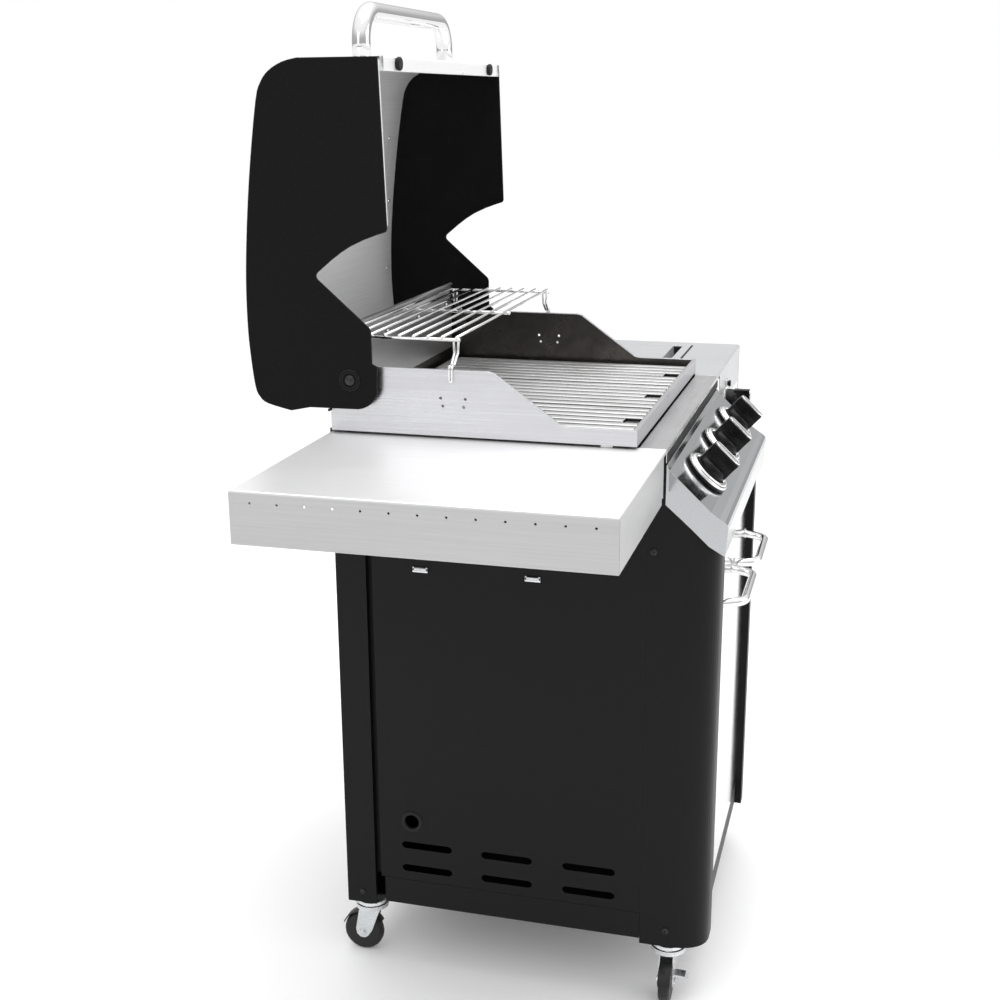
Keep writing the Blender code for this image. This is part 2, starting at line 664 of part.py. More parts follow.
def make_control_panel():
    panel = part("control_panel", prism([PANEL_FACE + PANEL_BACK], "X", -CABINET_HALF, CABINET_HALF), BRUSHED)
    inner_face = offset_path(PANEL_FACE, HEAVY_SHEET)
    hollow = [(-0.200, 0.8945), (-0.2505, 0.8945)] + inner_face[1:]
    hollow += [(inner_face[-1][0] + 0.0010, 0.740), (-0.200, 0.740)]
    cut(panel, "hollow", prism([hollow], "X", -CABINET_HALF + HEAVY_SHEET, CABINET_HALF - HEAVY_SHEET))
    tools = []
    for x in knob_places():
        frame = knob_frame(x)
        tools.append(rod(frame @ Vector((0, 0, -0.008)), frame @ Vector((0, 0, 0.008)), 0.0052, 16))
    cut(panel, "stem_holes", merged(tools))
    add(panel, "head_rail", box((-0.2217, 0.2217), (-0.3205, -0.3060), (0.7605, 0.7720)))
    add(panel, "lower_flange", box((-0.2212, 0.2212), (-0.3382, -0.3070), (0.7645, 0.7661)))
    holes = [rod((side * DOOR_AXIS[0], DOOR_AXIS[1], 0.755), (side * DOOR_AXIS[0], DOOR_AXIS[1], 0.766), 0.0023)
             for side in (LEFT, RIGHT)]
    return cut(panel, "pin_holes", merged(holes))


def make_manifold():
    """The gas pipe across the front, its three valve bodies and spuds, and the hose inlet."""
    pipe_frame = knob_frame(0.0, -0.070)
    pipe_y = pipe_frame.translation.y
    pipe_z = pipe_frame.translation.z
    manifold = part("gas_manifold", rod((-0.2050, pipe_y, pipe_z), (0.2150, pipe_y, pipe_z), 0.0085, 16), GALVANISED)
    bodies = []
    spuds = []
    bores = []
    for x in knob_places():
        frame = knob_frame(x)
        bodies.append(rod(frame @ Vector((0, 0, -0.068)), frame @ Vector((0, 0, -0.016)), 0.0120, 12))
        bores.append(rod(frame @ Vector((0, 0, -0.034)), frame @ Vector((0, 0, -0.010)), 0.0044, 12))
    for x, column in zip(knob_places(), (-1, 0, 1)):
        knee = (x, -0.2500, BURNER_HEIGHT - 0.012)
        bend = [(x, -0.2590, BURNER_HEIGHT - 0.012), knee, (GRATE_PITCH * column, -0.2400, BURNER_HEIGHT),
                (GRATE_PITCH * column, -0.2220, BURNER_HEIGHT)]
        spuds.append(bent_tube(bend, 0.0042, 2))
    inlet = [rod((0.2060, pipe_y, pipe_z), (0.2060, pipe_y, 0.7700), 0.0075, 12),
             rod((0.2060, pipe_y, 0.7820), (0.2060, pipe_y, 0.7720), 0.0110, 6)]
    add(manifold, "valve_bodies", merged(bodies))
    add(manifold, "spuds", merged(spuds))
    for number, mesh in enumerate(inlet):
        add(manifold, "inlet_" + str(number), mesh)
    return cut(manifold, "stem_bores", merged(bores))


def bar_knob(radius, height, bar_half):
    """Meshes of a knob: a skirt with a tall grip bar across it, drawn up Z."""
    skirt = turned([(0, 0.013), (radius * 0.82, 0.013), (radius * 0.95, 0.009), (radius, 0.0), (0, 0.0)], 24)
    top = height - 0.002
    side = bar_half
    reach = min(KNOB_GRIP, radius * 0.98)
    bar = prism([[(-side - 0.003, 0.006), (side + 0.003, 0.006), (side, 0.016), (side, top), (side - 0.002, height),
                  (2e-3 - side, height), (-side, top), (-side, 0.016)]], "Y", -reach, reach)
    return skirt, bar


def make_knob_set(frame, label, radius, height, stem_back, bezel=True):
    """A valve stem that can be pushed in, with the knob that turns on it."""
    turn = frame.to_euler()
    if bezel:
        profile = [(0.0290, 0.0), (0.0290, 0.0100), (0.0310, 0.0120), (0.0340, 0.0120), (0.0365, 0.0100),
                   (0.0380, 0.0060), (0.0380, 0.0), (0.0290, 0.0)]
        ring = part("knob_bezel_" + label, turned(profile[::-1], 28), CHROME, smooth=True)
        ring.location = frame @ Vector((0, 0, GAP))
        ring.rotation_euler = turn
    shaft = rod((0, 0, -stem_back), (0, 0, KNOB_LIFT + 0.0160), 0.0040, 16)
    stem = part("valve_stem_" + label, shaft, BRASS, smooth=True)
    stem.location = frame.translation
    stem.rotation_euler = turn
    skirt, bar = bar_knob(radius, height, 0.0095)
    knob = part("control_knob_" + label, skirt, KNOB_BLACK, smooth=True)
    for word, mesh in (("bar", bar), ("bore", rod((0, 0, -0.010), (0, 0, 0.0165), 0.0043, 16))):
        modifier = knob.modifiers.new(word, "BOOLEAN")
        modifier.operation = "UNION" if word == "bar" else "DIFFERENCE"
        modifier.solver = "EXACT"
        tool = cutter(knob.name + "_" + word, mesh)
        tool.parent = knob
        modifier.object = tool
    knob.parent = stem
    knob.location = (0, 0, KNOB_LIFT)


make_front_trim()
make_control_panel()
make_manifold()
for x, word in zip(knob_places(), ("left", "middle", "right")):
    make_knob_set(knob_frame(x), word, 0.0262, KNOB_HEIGHT, 0.0300)


# ---- side burner ----
def make_side_burner():
    """Burner tray under the right shelf, with its burner head, feed pipe and valve."""
    bowl = part("side_burner", box((0.352, 0.597), (-0.1150, 0.121), (0.8600, 0.9110)), BRUSHED)
    cut(bowl, "hollow", box((0.3532, 0.5958), (-0.1138, 0.1198), (0.8612, 0.9300)))
    add(bowl, "rim", prism([[(0.3390, -0.1185), (0.6100, -0.1185), (0.6100, 0.1480), (0.3390, 0.1480)],
                            [(0.3528, -0.1142), (0.5962, -0.1142), (0.5962, 0.1202), (0.3528, 0.1202)]],
                           "Z", 0.9098, 0.9110))
    head = turned([(0, 0.9020), (0.0300, 0.9020), (0.0360, 0.8990), (0.0360, 0.8920), (0.0240, 0.8880),
                   (0.0220, 0.8600), (0, 0.8600)], 24)
    head.transform(Matrix.Translation((0.4745, 0.0, 0.0)))
    add(bowl, "head", head)
    feed = [(0.4745, -0.020, 0.8560), (0.4745, -0.060, 0.8490), (0.4200, -0.120, 0.8490), (0.4200, -0.236, 0.8490)]
    add(bowl, "feed_pipe", bent_tube([(0.4745, 0.000, 0.8700)] + feed, 0.0060, 2))
    add(bowl, "valve_body", rod((0.4200, -0.2440, 0.8490), (0.4200, -0.2050, 0.8490), 0.0110, 16))
    return cut(bowl, "stem_bore", rod((0.4200, -0.2500, 0.8490), (0.4200, -0.2270, 0.8490), 0.0044, 16))


def make_pan_support():
    """Wire support for a pan, its long bars resting on the tray rim."""
    height = 0.9110 + GAP + 0.0024
    bars = [rod((x, -0.1170, height), (x, 0.1300, height), 0.0024, 8) for x in (0.3900, 0.4325, 0.5165, 0.5590)]
    frame = [rod((0.3720, y, height - 0.0020), (0.5770, y, height - 0.0020), 0.0022, 8)
             for y in (-0.0950, 0.0, 0.0950)]
    support = part("pan_support", bars[0], CHROME, (0.4745, 0.0, height), True)
    add(support, "cross_bars", merged(frame))
    return add(support, "bars", merged(bars[1:]))


def make_side_cover():
    """Flush cover over the side burner, a flat sheet with a deep front skirt, hinged along its rear edge."""
    cover = part("side_cover", box((0.3460, 0.6030), (-0.1210, 0.1390), (0.9176, 0.9188)), BRUSHED,
                 (0.4745, *SIDE_COVER_AXIS))
    return add(cover, "skirt", box((0.3464, 0.6026), (-0.1208, -0.1196), (0.8975, 0.9182)))


make_side_burner()
make_pan_support()
make_side_cover()
side_frame = Matrix.Translation((SIDE_KNOB_AXIS[0], SHELF_FRONT, SIDE_KNOB_AXIS[1]))
make_knob_set(side_frame @ Matrix.Rotation(math.pi / 2, 4, "X"), "side", 0.0225, KNOB_HEIGHT, 0.0190, False)

button = part("igniter_button", turned([(0, 0.0080), (0.0050, 0.0080), (0.0062, 0.0068), (0.0062, 0.0035),
                                        (0.0042, 0.0035), (0.0042, -0.0120), (0, -0.0120)], 20), KNOB_BLACK, smooth=True)
button.location = (0.445, SHELF_FRONT, 0.877)
button.rotation_euler = (math.pi / 2, 0, 0)


# ---- grease tray ----
def make_grease_tray():
    tray = part("grease_tray", box((-0.0555, 0.0555), (-0.140, 0.230), (0.7450, 0.7772)), GALVANISED,
                (0.0, 0.045, 0.7600))
    add(tray, "rim", box((-0.0632, 0.0632), (-0.1450, 0.2350), (0.7760, 0.7772)))
    return cut(tray, "hollow", box((-0.0543, 0.0543), (-0.1388, 0.2288), (0.7462, 0.8000)))


make_grease_tray()


# ---- lid, drawn open ----
def flowing(points, steps=3):
    """A smooth path through points in a plane."""
    ends = [points[0]] + list(points) + [points[-1]]
    path = []
    for before, first, last, after in zip(ends, ends[1:], ends[2:], ends[3:]):
        for step in range(steps):
            t = step / steps
            path.append(tuple(0.5 * (2 * b + (c - a) * t + (2 * a - 5 * b + 4 * c - d) * t * t
                                     + (3 * b - a - 3 * c + d) * t ** 3)
                              for a, b, c, d in zip(before, first, last, after)))
    return path + [tuple(points[-1])]


LID_REAR_STATIONS = [(0.1677, 1.4663), (0.2900, 1.4660), (0.3130, 1.4606), (0.3345, 1.4486), (0.3476, 1.4325),
                     (0.3560, 1.4080), (0.3693, 1.3229), (0.3780, 1.2500), (0.3840, 1.1831), (0.3868, 1.1300),
                     (0.3871, 1.0737), (0.3845, 1.0300), (0.3798, 0.9885), (0.3735, 0.9725), (0.3600, 0.9620),
                     (0.3219, 0.9529)]
LID_REAR_PATH = LID_REAR_STATIONS[:1] + flowing(LID_REAR_STATIONS[1:])
LID_FRONT_PATH = [(0.2908, 0.9595), (0.2130, 0.9600), (0.2055, 0.9617), (0.1975, 0.9656), (0.1908, 0.9713),
                  (0.1860, 0.9780), (0.1832, 0.9840), (0.1822, 0.9900), (0.1815, 1.0259), (0.1892, 1.0300)]
LID_FRONT_PATH += round_corner((0.1892, 1.0300), (0.1898, 1.0815), (0.2755, 1.1577), 0.012, 4)
LID_FRONT_PATH += round_corner((0.1898, 1.0815), (0.2765, 1.1577), (0.2480, 1.1812), 0.007, 5)
LID_FRONT_PATH += [(0.2480, 1.1812), (0.2325, 1.1926), (0.2170, 1.2021), (0.1960, 1.2118), (0.1760, 1.2190)]
LID_FRONT_PATH += round_corner((0.1760, 1.2190), (0.1598, 1.2242), (0.1604, 1.2500), 0.006, 4)


def make_lid_shell():
    spine = offset_path(LID_REAR_PATH, -LID_WALL - GAP)
    spine[0] = (0.1700, spine[0][1])
    path = [(0.1830, 1.4480), (0.1700, 1.4480)] + spine
    section = path + offset_path(path, -SHEET)[::-1]
    half = LID_HALF - LID_WALL - GAP
    shell = part("lid_shell", prism([section], "X", -half, half), BRUSHED, (0.0, *LID_AXIS))
    return shell


def make_lid_cap(side, name):
    outline = LID_REAR_PATH + LID_FRONT_PATH
    outer = side * LID_HALF
    cap = part(name, prism([outline], "X", outer, outer - side * LID_LIP), LID_BLACK, (outer, *LID_AXIS))
    inner = offset_path(LID_REAR_PATH, -LID_WALL)
    hollow = [(0.100, inner[0][1])] + inner[1:] + [(inner[-1][0], 0.900), (0.100, 0.900)]
    cut(cap, "hollow", prism([hollow], "X", outer - side * LID_WALL, outer - side * 0.020))
    inside = side * (FIREBOX_HALF + GAP)
    add(cap, "boss", prism([circle(*LID_AXIS, 0.0110, 20)], "X", outer - side * 0.001, inside))
    return add(cap, "pin", prism([circle(*LID_AXIS, 0.0042, 12)], "X", outer - side * 0.004, side * 0.2960))


def make_lid_handle():
    """Chrome tube across the lid on two legs."""
    y = 0.2343
    foot = 1.4663 + GAP
    corners = [(-0.203, y, foot), (-0.203, y, 1.5355), (0.203, y, 1.5355), (0.203, y, foot)]
    return part("lid_handle", bent_tube(rounded_path(corners, 0.045, 6), 0.01375, 4), CHROME, (0.0, *LID_AXIS), True)


lid_shell = make_lid_shell()
lid_parts = [make_lid_cap(LEFT, "lid_cap_left"), make_lid_cap(RIGHT, "lid_cap_right"), make_lid_handle()]


# ---- doors ----
def make_door(side, name):
    inner_edge = 0.0010
    blank = box((side * inner_edge, side * DOOR_EDGE), (DOOR_FACE, DOOR_FACE + DOOR_DEPTH), (DOOR_BOTTOM, DOOR_TOP),
                lambda edge: edge.y < DOOR_FACE + 0.001, 0.0015)
    door = part(name, blank, POLISHED, (side * DOOR_AXIS[0], DOOR_AXIS[1], 0.4545))
    rim = 0.010
    cut(door, "back", box((side * (inner_edge + SHEET), side * (DOOR_EDGE - rim)),
                          (DOOR_FACE + SHEET, DOOR_FACE + DOOR_DEPTH + 0.010),
                          (DOOR_BOTTOM + SHEET, DOOR_TOP - SHEET)))
    pins = [rod((side * DOOR_AXIS[0], DOOR_AXIS[1], low), (side * DOOR_AXIS[0], DOOR_AXIS[1], high), 0.0020)
            for low, high in ((0.1465, 0.1560), (0.7530, 0.7640))]
    return add(door, "pins", merged(pins))


def make_door_handle(side, name):
    back = DOOR_FACE - GAP
    bar = DOOR_HANDLE_BAR
    near, far = DOOR_HANDLE_FEET
    first, last = DOOR_HANDLE_ENDS
    corners = [(side * near, back, 0.655), (side * first, bar, 0.655), (side * last, bar, 0.655),
               (side * far, back, 0.655)]
    path = rounded_path(corners, 0.027, 6)
    path = [path[0], (path[0][0], back - 0.003, 0.655)] + path[1:-1]
    path += [(corners[-1][0], back - 0.003, 0.655), corners[-1]]
    tube = bent_tube(path, DOOR_HANDLE_RADIUS, 3)
    return part(name, tube, CHROME, (side * DOOR_AXIS[0], DOOR_AXIS[1], 0.655), True)


for side, word in ((LEFT, "left"), (RIGHT, "right")):
    door = make_door(side, "door_" + word)
    hang(make_door_handle(side, "door_handle_" + word), door)
for piece in lid_parts:
    hang(piece, lid_shell)


# ---- casters ----
def make_caster(x, y, turn, label, brake_side=0):
    """A swivel caster: zinc fork on its stem, wheel on the axle, side brake where there is one.

    Drawn trailing toward +Y about the stem axis, then turned.
    """
    axle_y = CASTER_TRAIL
    axle_z = WHEEL_RADIUS - 0.100
    head = [(0, 0.0230), (0.0055, 0.0230), (0.0055, 0.0), (0.0255, 0.0), (0.0265, -0.0050), (0.0285, -0.0065),
            (0.0285, -0.0140), (0, -0.0150)]
    fork = part("caster_fork_" + label, turned(head, 20), ZINC, smooth=True)
    half = WHEEL_WIDTH / 2 + 0.0012
    leg = [(-0.020, -0.0130), (0.0150, -0.0130), (0.0210, -0.0250), (0.0270, -0.0600), (0.0255, -0.0690),
           (0.0200, -0.0745), (0.0120, -0.0755), (0.0060, -0.0720), (-0.0020, -0.0600), (-0.0140, -0.0260)]
    pieces = [prism([leg], "X", side * half, side * (half + 0.0018)) for side in (LEFT, RIGHT)]
    pieces.append(rod((-half - 0.0045, axle_y, axle_z), (half + 0.0045, axle_y, axle_z), 0.0040))
    for number, mesh in enumerate(pieces):
        modifier = fork.modifiers.new("piece_" + str(number), "BOOLEAN")
        modifier.operation = "UNION"
        modifier.solver = "EXACT"
        tool = cutter(fork.name + "_piece_" + str(number), mesh)
        tool.parent = fork
        modifier.object = tool
    profile = [(0.0043, -0.0090), (0.0300, -0.0090), (0.0330, -0.0070), (WHEEL_RADIUS, -0.0030)]
    section = profile + [(radius, -height) for radius, height in profile[::-1]] + [profile[0]]
    mesh = turned(section[::-1], 24)
    mesh.transform(Matrix.Rotation(math.pi / 2, 4, "Y"))
    wheel = part("caster_wheel_" + label, mesh, TYRE_BLACK, smooth=True)
    wheel.parent = fork
    wheel.location = (0, axle_y, axle_z)
    fork.location = (x, y, 0.100)
    fork.rotation_euler = (0, 0, turn)
    if brake_side:
        make_brake(fork, label, brake_side, half, axle_y)


def make_brake(fork, label, side, half, axle_y):
    """A bent tab that tilts about its rolled inner edge, at the side of the fork."""
    roll = 0.0016
    section = [(roll * math.cos(turn), roll * math.sin(turn))
               for turn in (math.pi / 2 + math.pi * step / 4 for step in range(5))]
    section += [(0.0165, -0.0006), (0.0220, -0.0030), (0.0226, -0.0014), (0.0170, 0.0010)]
    tab = prism([mirrored(section, side)], "Y", -0.0090, 0.0090)
    lever = part("brake_lever_" + label, tab, ZINC)
    lever.parent = fork
    lever.location = (side * (half + 0.0018 + GAP + roll), axle_y + 0.002, -0.0480)


make_caster(-CASTER_X, CASTER_REAR_Y, 0.0, "rear_left")
make_caster(CASTER_X, CASTER_REAR_Y, 0.0, "rear_right")
make_caster(-CASTER_X, CASTER_FRONT_Y, math.pi / 2, "front_left", LEFT)
make_caster(CASTER_X, CASTER_FRONT_Y, -math.pi / 2, "front_right", RIGHT)

# ---- the whole grill, centred over the origin ----
base = bpy.data.objects.new("grill_base", None)
base.location = (0, -DEPTH_CENTRE, 0)
PARTS.objects.link(base)
for piece in list(PARTS.objects) + list(CUTTERS.objects):
    if piece is not base and piece.parent is None:
        piece.parent = base
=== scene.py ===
"""Gas barbecue grill with its lid open: materials, small parts, floor, light and camera."""
import json
import math

import bmesh
import bpy
from mathutils import Matrix, Vector


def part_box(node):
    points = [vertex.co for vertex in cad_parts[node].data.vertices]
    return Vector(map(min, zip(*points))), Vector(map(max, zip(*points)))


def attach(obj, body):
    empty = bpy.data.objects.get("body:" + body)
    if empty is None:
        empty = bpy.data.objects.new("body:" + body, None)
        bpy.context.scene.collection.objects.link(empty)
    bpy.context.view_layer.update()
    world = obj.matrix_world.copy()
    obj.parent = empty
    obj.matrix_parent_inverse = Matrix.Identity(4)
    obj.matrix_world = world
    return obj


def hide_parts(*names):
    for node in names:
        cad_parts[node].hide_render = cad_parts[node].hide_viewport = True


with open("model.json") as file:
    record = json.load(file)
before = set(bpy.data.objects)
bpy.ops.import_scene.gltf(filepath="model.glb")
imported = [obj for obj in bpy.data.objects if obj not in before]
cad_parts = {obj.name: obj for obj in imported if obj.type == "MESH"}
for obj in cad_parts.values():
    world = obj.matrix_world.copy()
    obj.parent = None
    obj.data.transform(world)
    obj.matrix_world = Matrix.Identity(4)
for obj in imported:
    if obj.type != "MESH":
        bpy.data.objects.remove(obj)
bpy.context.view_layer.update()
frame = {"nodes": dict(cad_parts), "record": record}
NODES = frame["nodes"]

# ---- places of the CAD model, in metres; y counts from BACK, which at() adds ----
BACK = -0.0105
LEFT = -1
RIGHT = 1
SIDES = ((LEFT, "left"), (RIGHT, "right"))
LID_PIVOT = (0.2256 + BACK, 1.0037)
LID_CAP_FACE = 0.3184
LID_FRONT = 0.1664
LID_LIP_END = 0.3090
LID_HANDLE_LEG = 0.203
LID_HANDLE_RADIUS = 0.01375
LID_HANDLE_BEND = 0.045
BURNER_HEIGHT = 0.838
BURNER_RADIUS = 0.0125
RACK_HEIGHT = 1.0682
RACK_HALF_LENGTH = 0.284
RACK_FOOT = (0.3071, 1.0060)
SHELF_END = 0.653
SHELF_FRONT = -0.250
CABINET_SIDE = 0.292
PANEL_TILT = math.atan2(0.685, 0.729)
PANEL_MIDDLE = (-0.2910, 0.8536)
KNOB_PLACES = {"left": -0.1685, "middle": 0.0105, "right": 0.1895}
KNOB_LIFT = 0.0115
KNOB_HEIGHT = 0.0375
SIDE_KNOB = (0.42, 0.849)
IGNITER = (0.445, 0.877)
SIDE_BURNER = (0.4745, 0.8955)
DOOR_HANDLE_RADIUS = 0.0071
DOOR_HANDLE_FEET = (0.015, 0.192)
DOOR_HANDLE_CORNERS = (0.032, 0.171)
DOOR_BUMPER = 0.030
CASTERS = {"rear_left": (-0.262, 0.2396, 0.0), "rear_right": (0.262, 0.2396, 0.0),
           "front_left": (-0.262, -0.269, math.pi / 2), "front_right": (0.262, -0.269, -math.pi / 2)}
CASTER_TOP = 0.100
CASTER_TRAIL = 0.0155
WHEEL_RADIUS = 0.0345
FORK_HALF_WIDTH = 0.0102

# An outline drawn in X and Y and raised along Z is turned by these: ACROSS lays it in Y and Z and raises it
# along X, ALONG_X does that in the places that at() uses, and UPRIGHT stands it up and raises it along -Y.
ACROSS = Matrix(((0, 0, 1, 0), (1, 0, 0, 0), (0, 1, 0, 0), (0, 0, 0, 1)))
ALONG_X = Matrix(((0, 0, 1, 0), (1, 0, 0, BACK), (0, 1, 0, 0), (0, 0, 0, 1)))
UPRIGHT = Matrix(((1, 0, 0, 0), (0, 0, -1, 0), (0, 1, 0, 0), (0, 0, 0, 1)))


# ---- materials ----
class Graph:
    """A short way to write a node tree."""

    def __init__(self, material):
        self.tree = material.node_tree
        self.shader = self.tree.nodes["Principled BSDF"]
        self.place = self.node("TexCoord").outputs["Object"]

    def node(self, kind, **settings):
        made = self.tree.nodes.new("ShaderNode" + kind)
        for key, value in settings.items():
            setattr(made, key, value)
        return made

    def link(self, source, target):
        self.tree.links.new(source, target)

    def stretched(self, scale):
        made = self.node("Mapping")
        made.inputs["Scale"].default_value = scale
        self.link(self.place, made.inputs["Vector"])
        return made.outputs["Vector"]

    def noise(self, scale, detail=2.0, roughness=0.5, vector=None):
        made = self.node("TexNoise")
        made.inputs["Scale"].default_value = scale
        made.inputs["Detail"].default_value = detail
        made.inputs["Roughness"].default_value = roughness
        self.link(vector or self.place, made.inputs["Vector"])
        return made.outputs["Fac"]

    def spread(self, source, low, high, from_low=0.3, from_high=0.7):
        made = self.node("MapRange")
        made.inputs["From Min"].default_value = from_low
        made.inputs["From Max"].default_value = from_high
        made.inputs["To Min"].default_value = low
        made.inputs["To Max"].default_value = high
        self.link(source, made.inputs["Value"])
        return made.outputs["Result"]

    def combine(self, first, second, operation="ADD"):
        made = self.node("Math", operation=operation)
        for socket, value in zip(made.inputs, (first, second)):
            if isinstance(value, (int, float)):
                socket.default_value = value
            else:
                self.link(value, socket)
        return made.outputs["Value"]

    def blend(self, factor, first, second):
        made = self.node("Mix", data_type="RGBA")
        self.link(factor, made.inputs["Factor"])
        for name, value in (("A", first), ("B", second)):
            socket = [s for s in made.inputs if s.name == name and s.type == "RGBA"][0]
            if isinstance(value, tuple):
                socket.default_value = (*value, 1.0)
            else:
                self.link(value, socket)
        return [s for s in made.outputs if s.type == "RGBA"][0]

    def edge_bevel_and_highlight(self, radius):
        """A rounded normal and a factor that is 1 on edges, which the materials use to paint a highlight along
        edges.
        """
        soft = self.node("Bevel", samples=4)
        soft.inputs["Radius"].default_value = radius
        flat = self.node("NewGeometry")
        dot = self.node("VectorMath", operation="DOT_PRODUCT")
        self.link(soft.outputs["Normal"], dot.inputs[0])
        self.link(flat.outputs["True Normal"], dot.inputs[1])
        return soft.outputs["Normal"], self.spread(dot.outputs["Value"], 1.0, 0.0, 0.80, 0.985)

    def upward(self, low=0.2, high=0.9):
        """A factor that is 1 on faces that look up and 0 on upright faces."""
        flat = self.node("NewGeometry")
        parts = self.node("SeparateXYZ")
        self.link(flat.outputs["True Normal"], parts.inputs["Vector"])
        return self.spread(parts.outputs["Z"], 0.0, 1.0, low, high)

    def bump(self, height, distance, strength=1.0, normal=None):
        made = self.node("Bump")
        made.inputs["Strength"].default_value = strength
        made.inputs["Distance"].default_value = distance
        self.link(height, made.inputs["Height"])
        if normal is not None:
            self.link(normal, made.inputs["Normal"])
        return made.outputs["Normal"]

    def set(self, **values):
        for name, value in values.items():
            socket = self.shader.inputs[name.replace("_", " ")]
            if hasattr(value, "is_output"):
                self.link(value, socket)
            elif isinstance(value, tuple):
                socket.default_value = (*value, 1.0)
            else:
                socket.default_value = value


def new_material(name):
    """A material and the graph of its nodes."""
    material = bpy.data.materials.new(name)
    material.use_nodes = True
    return material, Graph(material)


GRAIN = {"X": (5.0, 520.0, 520.0), "Y": (520.0, 5.0, 520.0), "Z": (520.0, 520.0, 5.0)}


def brushed(name, bright, dark, rough, along, edge=0.0006, metallic=1.0, upright=1.0):
    """Stainless sheet with grain along one axis, faint smears, a painted highlight on the folds and painted shade on
    upright faces.
    """
    material, g = new_material(name)
    grain = g.noise(1.0, 5.0, 0.65, g.stretched(GRAIN[along]))
    smear = g.noise(5.5, 3.0, 0.55)
    soft, edge_highlight = g.edge_bevel_and_highlight(edge)
    tone = g.blend(g.combine(g.spread(grain, 0.0, 0.75), g.spread(smear, 0.0, 0.25)), bright, dark)
    # Painted shade: upright faces take a darker copy of the colours, scaled by upright.
    if upright < 1.0:
        painted_shade_tone = g.blend(g.spread(grain, 0.0, 1.0), tuple(upright * c for c in bright),
                         tuple(upright * c for c in dark))
        tone = g.blend(g.upward(), painted_shade_tone, tone)
    # Painted highlight: edges and folds are blended towards light grey.
    tone = g.blend(edge_highlight, tone, (0.90, 0.90, 0.90))
    spread_rough = g.combine(g.spread(grain, rough - 0.05, rough + 0.06), g.spread(smear, -0.03, 0.05))
    g.set(Base_Color=tone, Metallic=metallic, Roughness=spread_rough,
          Normal=g.bump(grain, 0.00002, 0.35, soft))
    return material


def polished(name, colour, rough, edge=0.0006):
    """Bright plate with faint waviness and fine scratches."""
    material, g = new_material(name)
    wave = g.noise(9.0, 2.0)
    scratch = g.noise(1.0, 3.0, 0.7, g.stretched((700.0, 12.0, 90.0)))
    soft = g.edge_bevel_and_highlight(edge)[0]
    tone = g.blend(g.spread(scratch, 0.0, 1.0), colour, tuple(0.93 * c for c in colour))
    g.set(Base_Color=tone, Metallic=1.0, Roughness=g.spread(scratch, rough * 0.7, rough * 1.5),
          Normal=g.bump(wave, 0.0006, 0.35, soft))
    return material


def powder_coat(name, colour, rough, specular, pebble, depth, edge=0.0008, edge_highlight_tone=0.05):
    """Black coating with an orange-peel or pebbled surface and folded edges made lighter as a painted highlight."""
    material, g = new_material(name)
    fine = g.noise(pebble, 3.0, 0.6)
    broad = g.noise(3.2, 3.0, 0.5)
    dust = g.noise(pebble * 0.35, 5.0, 0.75)
    soft, edge_highlight = g.edge_bevel_and_highlight(edge)
    tone = g.blend(g.spread(broad, 0.0, 0.6), colour, tuple(1.5 * c for c in colour))
    tone = g.blend(g.spread(dust, 0.0, 0.12, 0.55, 0.85), tone, (0.06, 0.06, 0.064))
    # Painted highlight: edges are blended towards a lighter grey.
    tone = g.blend(edge_highlight, tone, (edge_highlight_tone, edge_highlight_tone, edge_highlight_tone * 1.03))
    g.set(Base_Color=tone, Metallic=0.0, Specular_IOR_Level=specular,
          Roughness=g.combine(g.spread(fine, rough - 0.05, rough + 0.07), g.spread(broad, -0.03, 0.04)),
          Normal=g.bump(fine, depth, 0.6, soft))
    return material


def moulded(name, colour, rough, specular=0.5, edge=0.0007, grain=900.0):
    """Black plastic or rubber with a fine moulded surface and edges softly lightened as a painted highlight."""
    material, g = new_material(name)
    fine = g.noise(grain, 3.0, 0.6)
    scuff = g.noise(60.0, 4.0, 0.7)
    soft, edge_highlight = g.edge_bevel_and_highlight(edge)
    tone = g.blend(g.spread(scuff, 0.0, 0.5), colour, tuple(2.0 * c + 0.004 for c in colour))
    # Painted highlight: a fifth of the edge factor lightens the edges towards grey.
    tone = g.blend(g.combine(edge_highlight, 0.20, "MULTIPLY"), tone, (0.08, 0.08, 0.08))
    g.set(Base_Color=tone, Roughness=g.spread(scuff, rough - 0.05, rough + 0.08), Specular_IOR_Level=specular,
          Normal=g.bump(fine, 0.00008, 0.4, soft))
    return material


def cast_metal(name, bright, dark, rough, grain=260.0, depth=0.00012, edge=0.0005):
    """Plated or heat-stained metal with a mottled surface and edges brightened as a painted highlight."""
    material, g = new_material(name)
    fine = g.noise(grain, 4.0, 0.6)
    patch = g.noise(14.0, 4.0, 0.6)
    soft, edge_highlight = g.edge_bevel_and_highlight(edge)
    tone = g.blend(g.spread(patch, 0.0, 1.0), bright, dark)
    # Painted highlight: edges are brightened above the bright tone.
    tone = g.blend(edge_highlight, tone, tuple(min(1.0, 1.15 * c) for c in bright))
    g.set(Base_Color=tone, Metallic=1.0, Roughness=g.combine(g.spread(fine, rough - 0.05, rough + 0.05),
                                                          g.spread(patch, -0.06, 0.08)),
          Normal=g.bump(fine, depth, 0.5, soft))
    return material


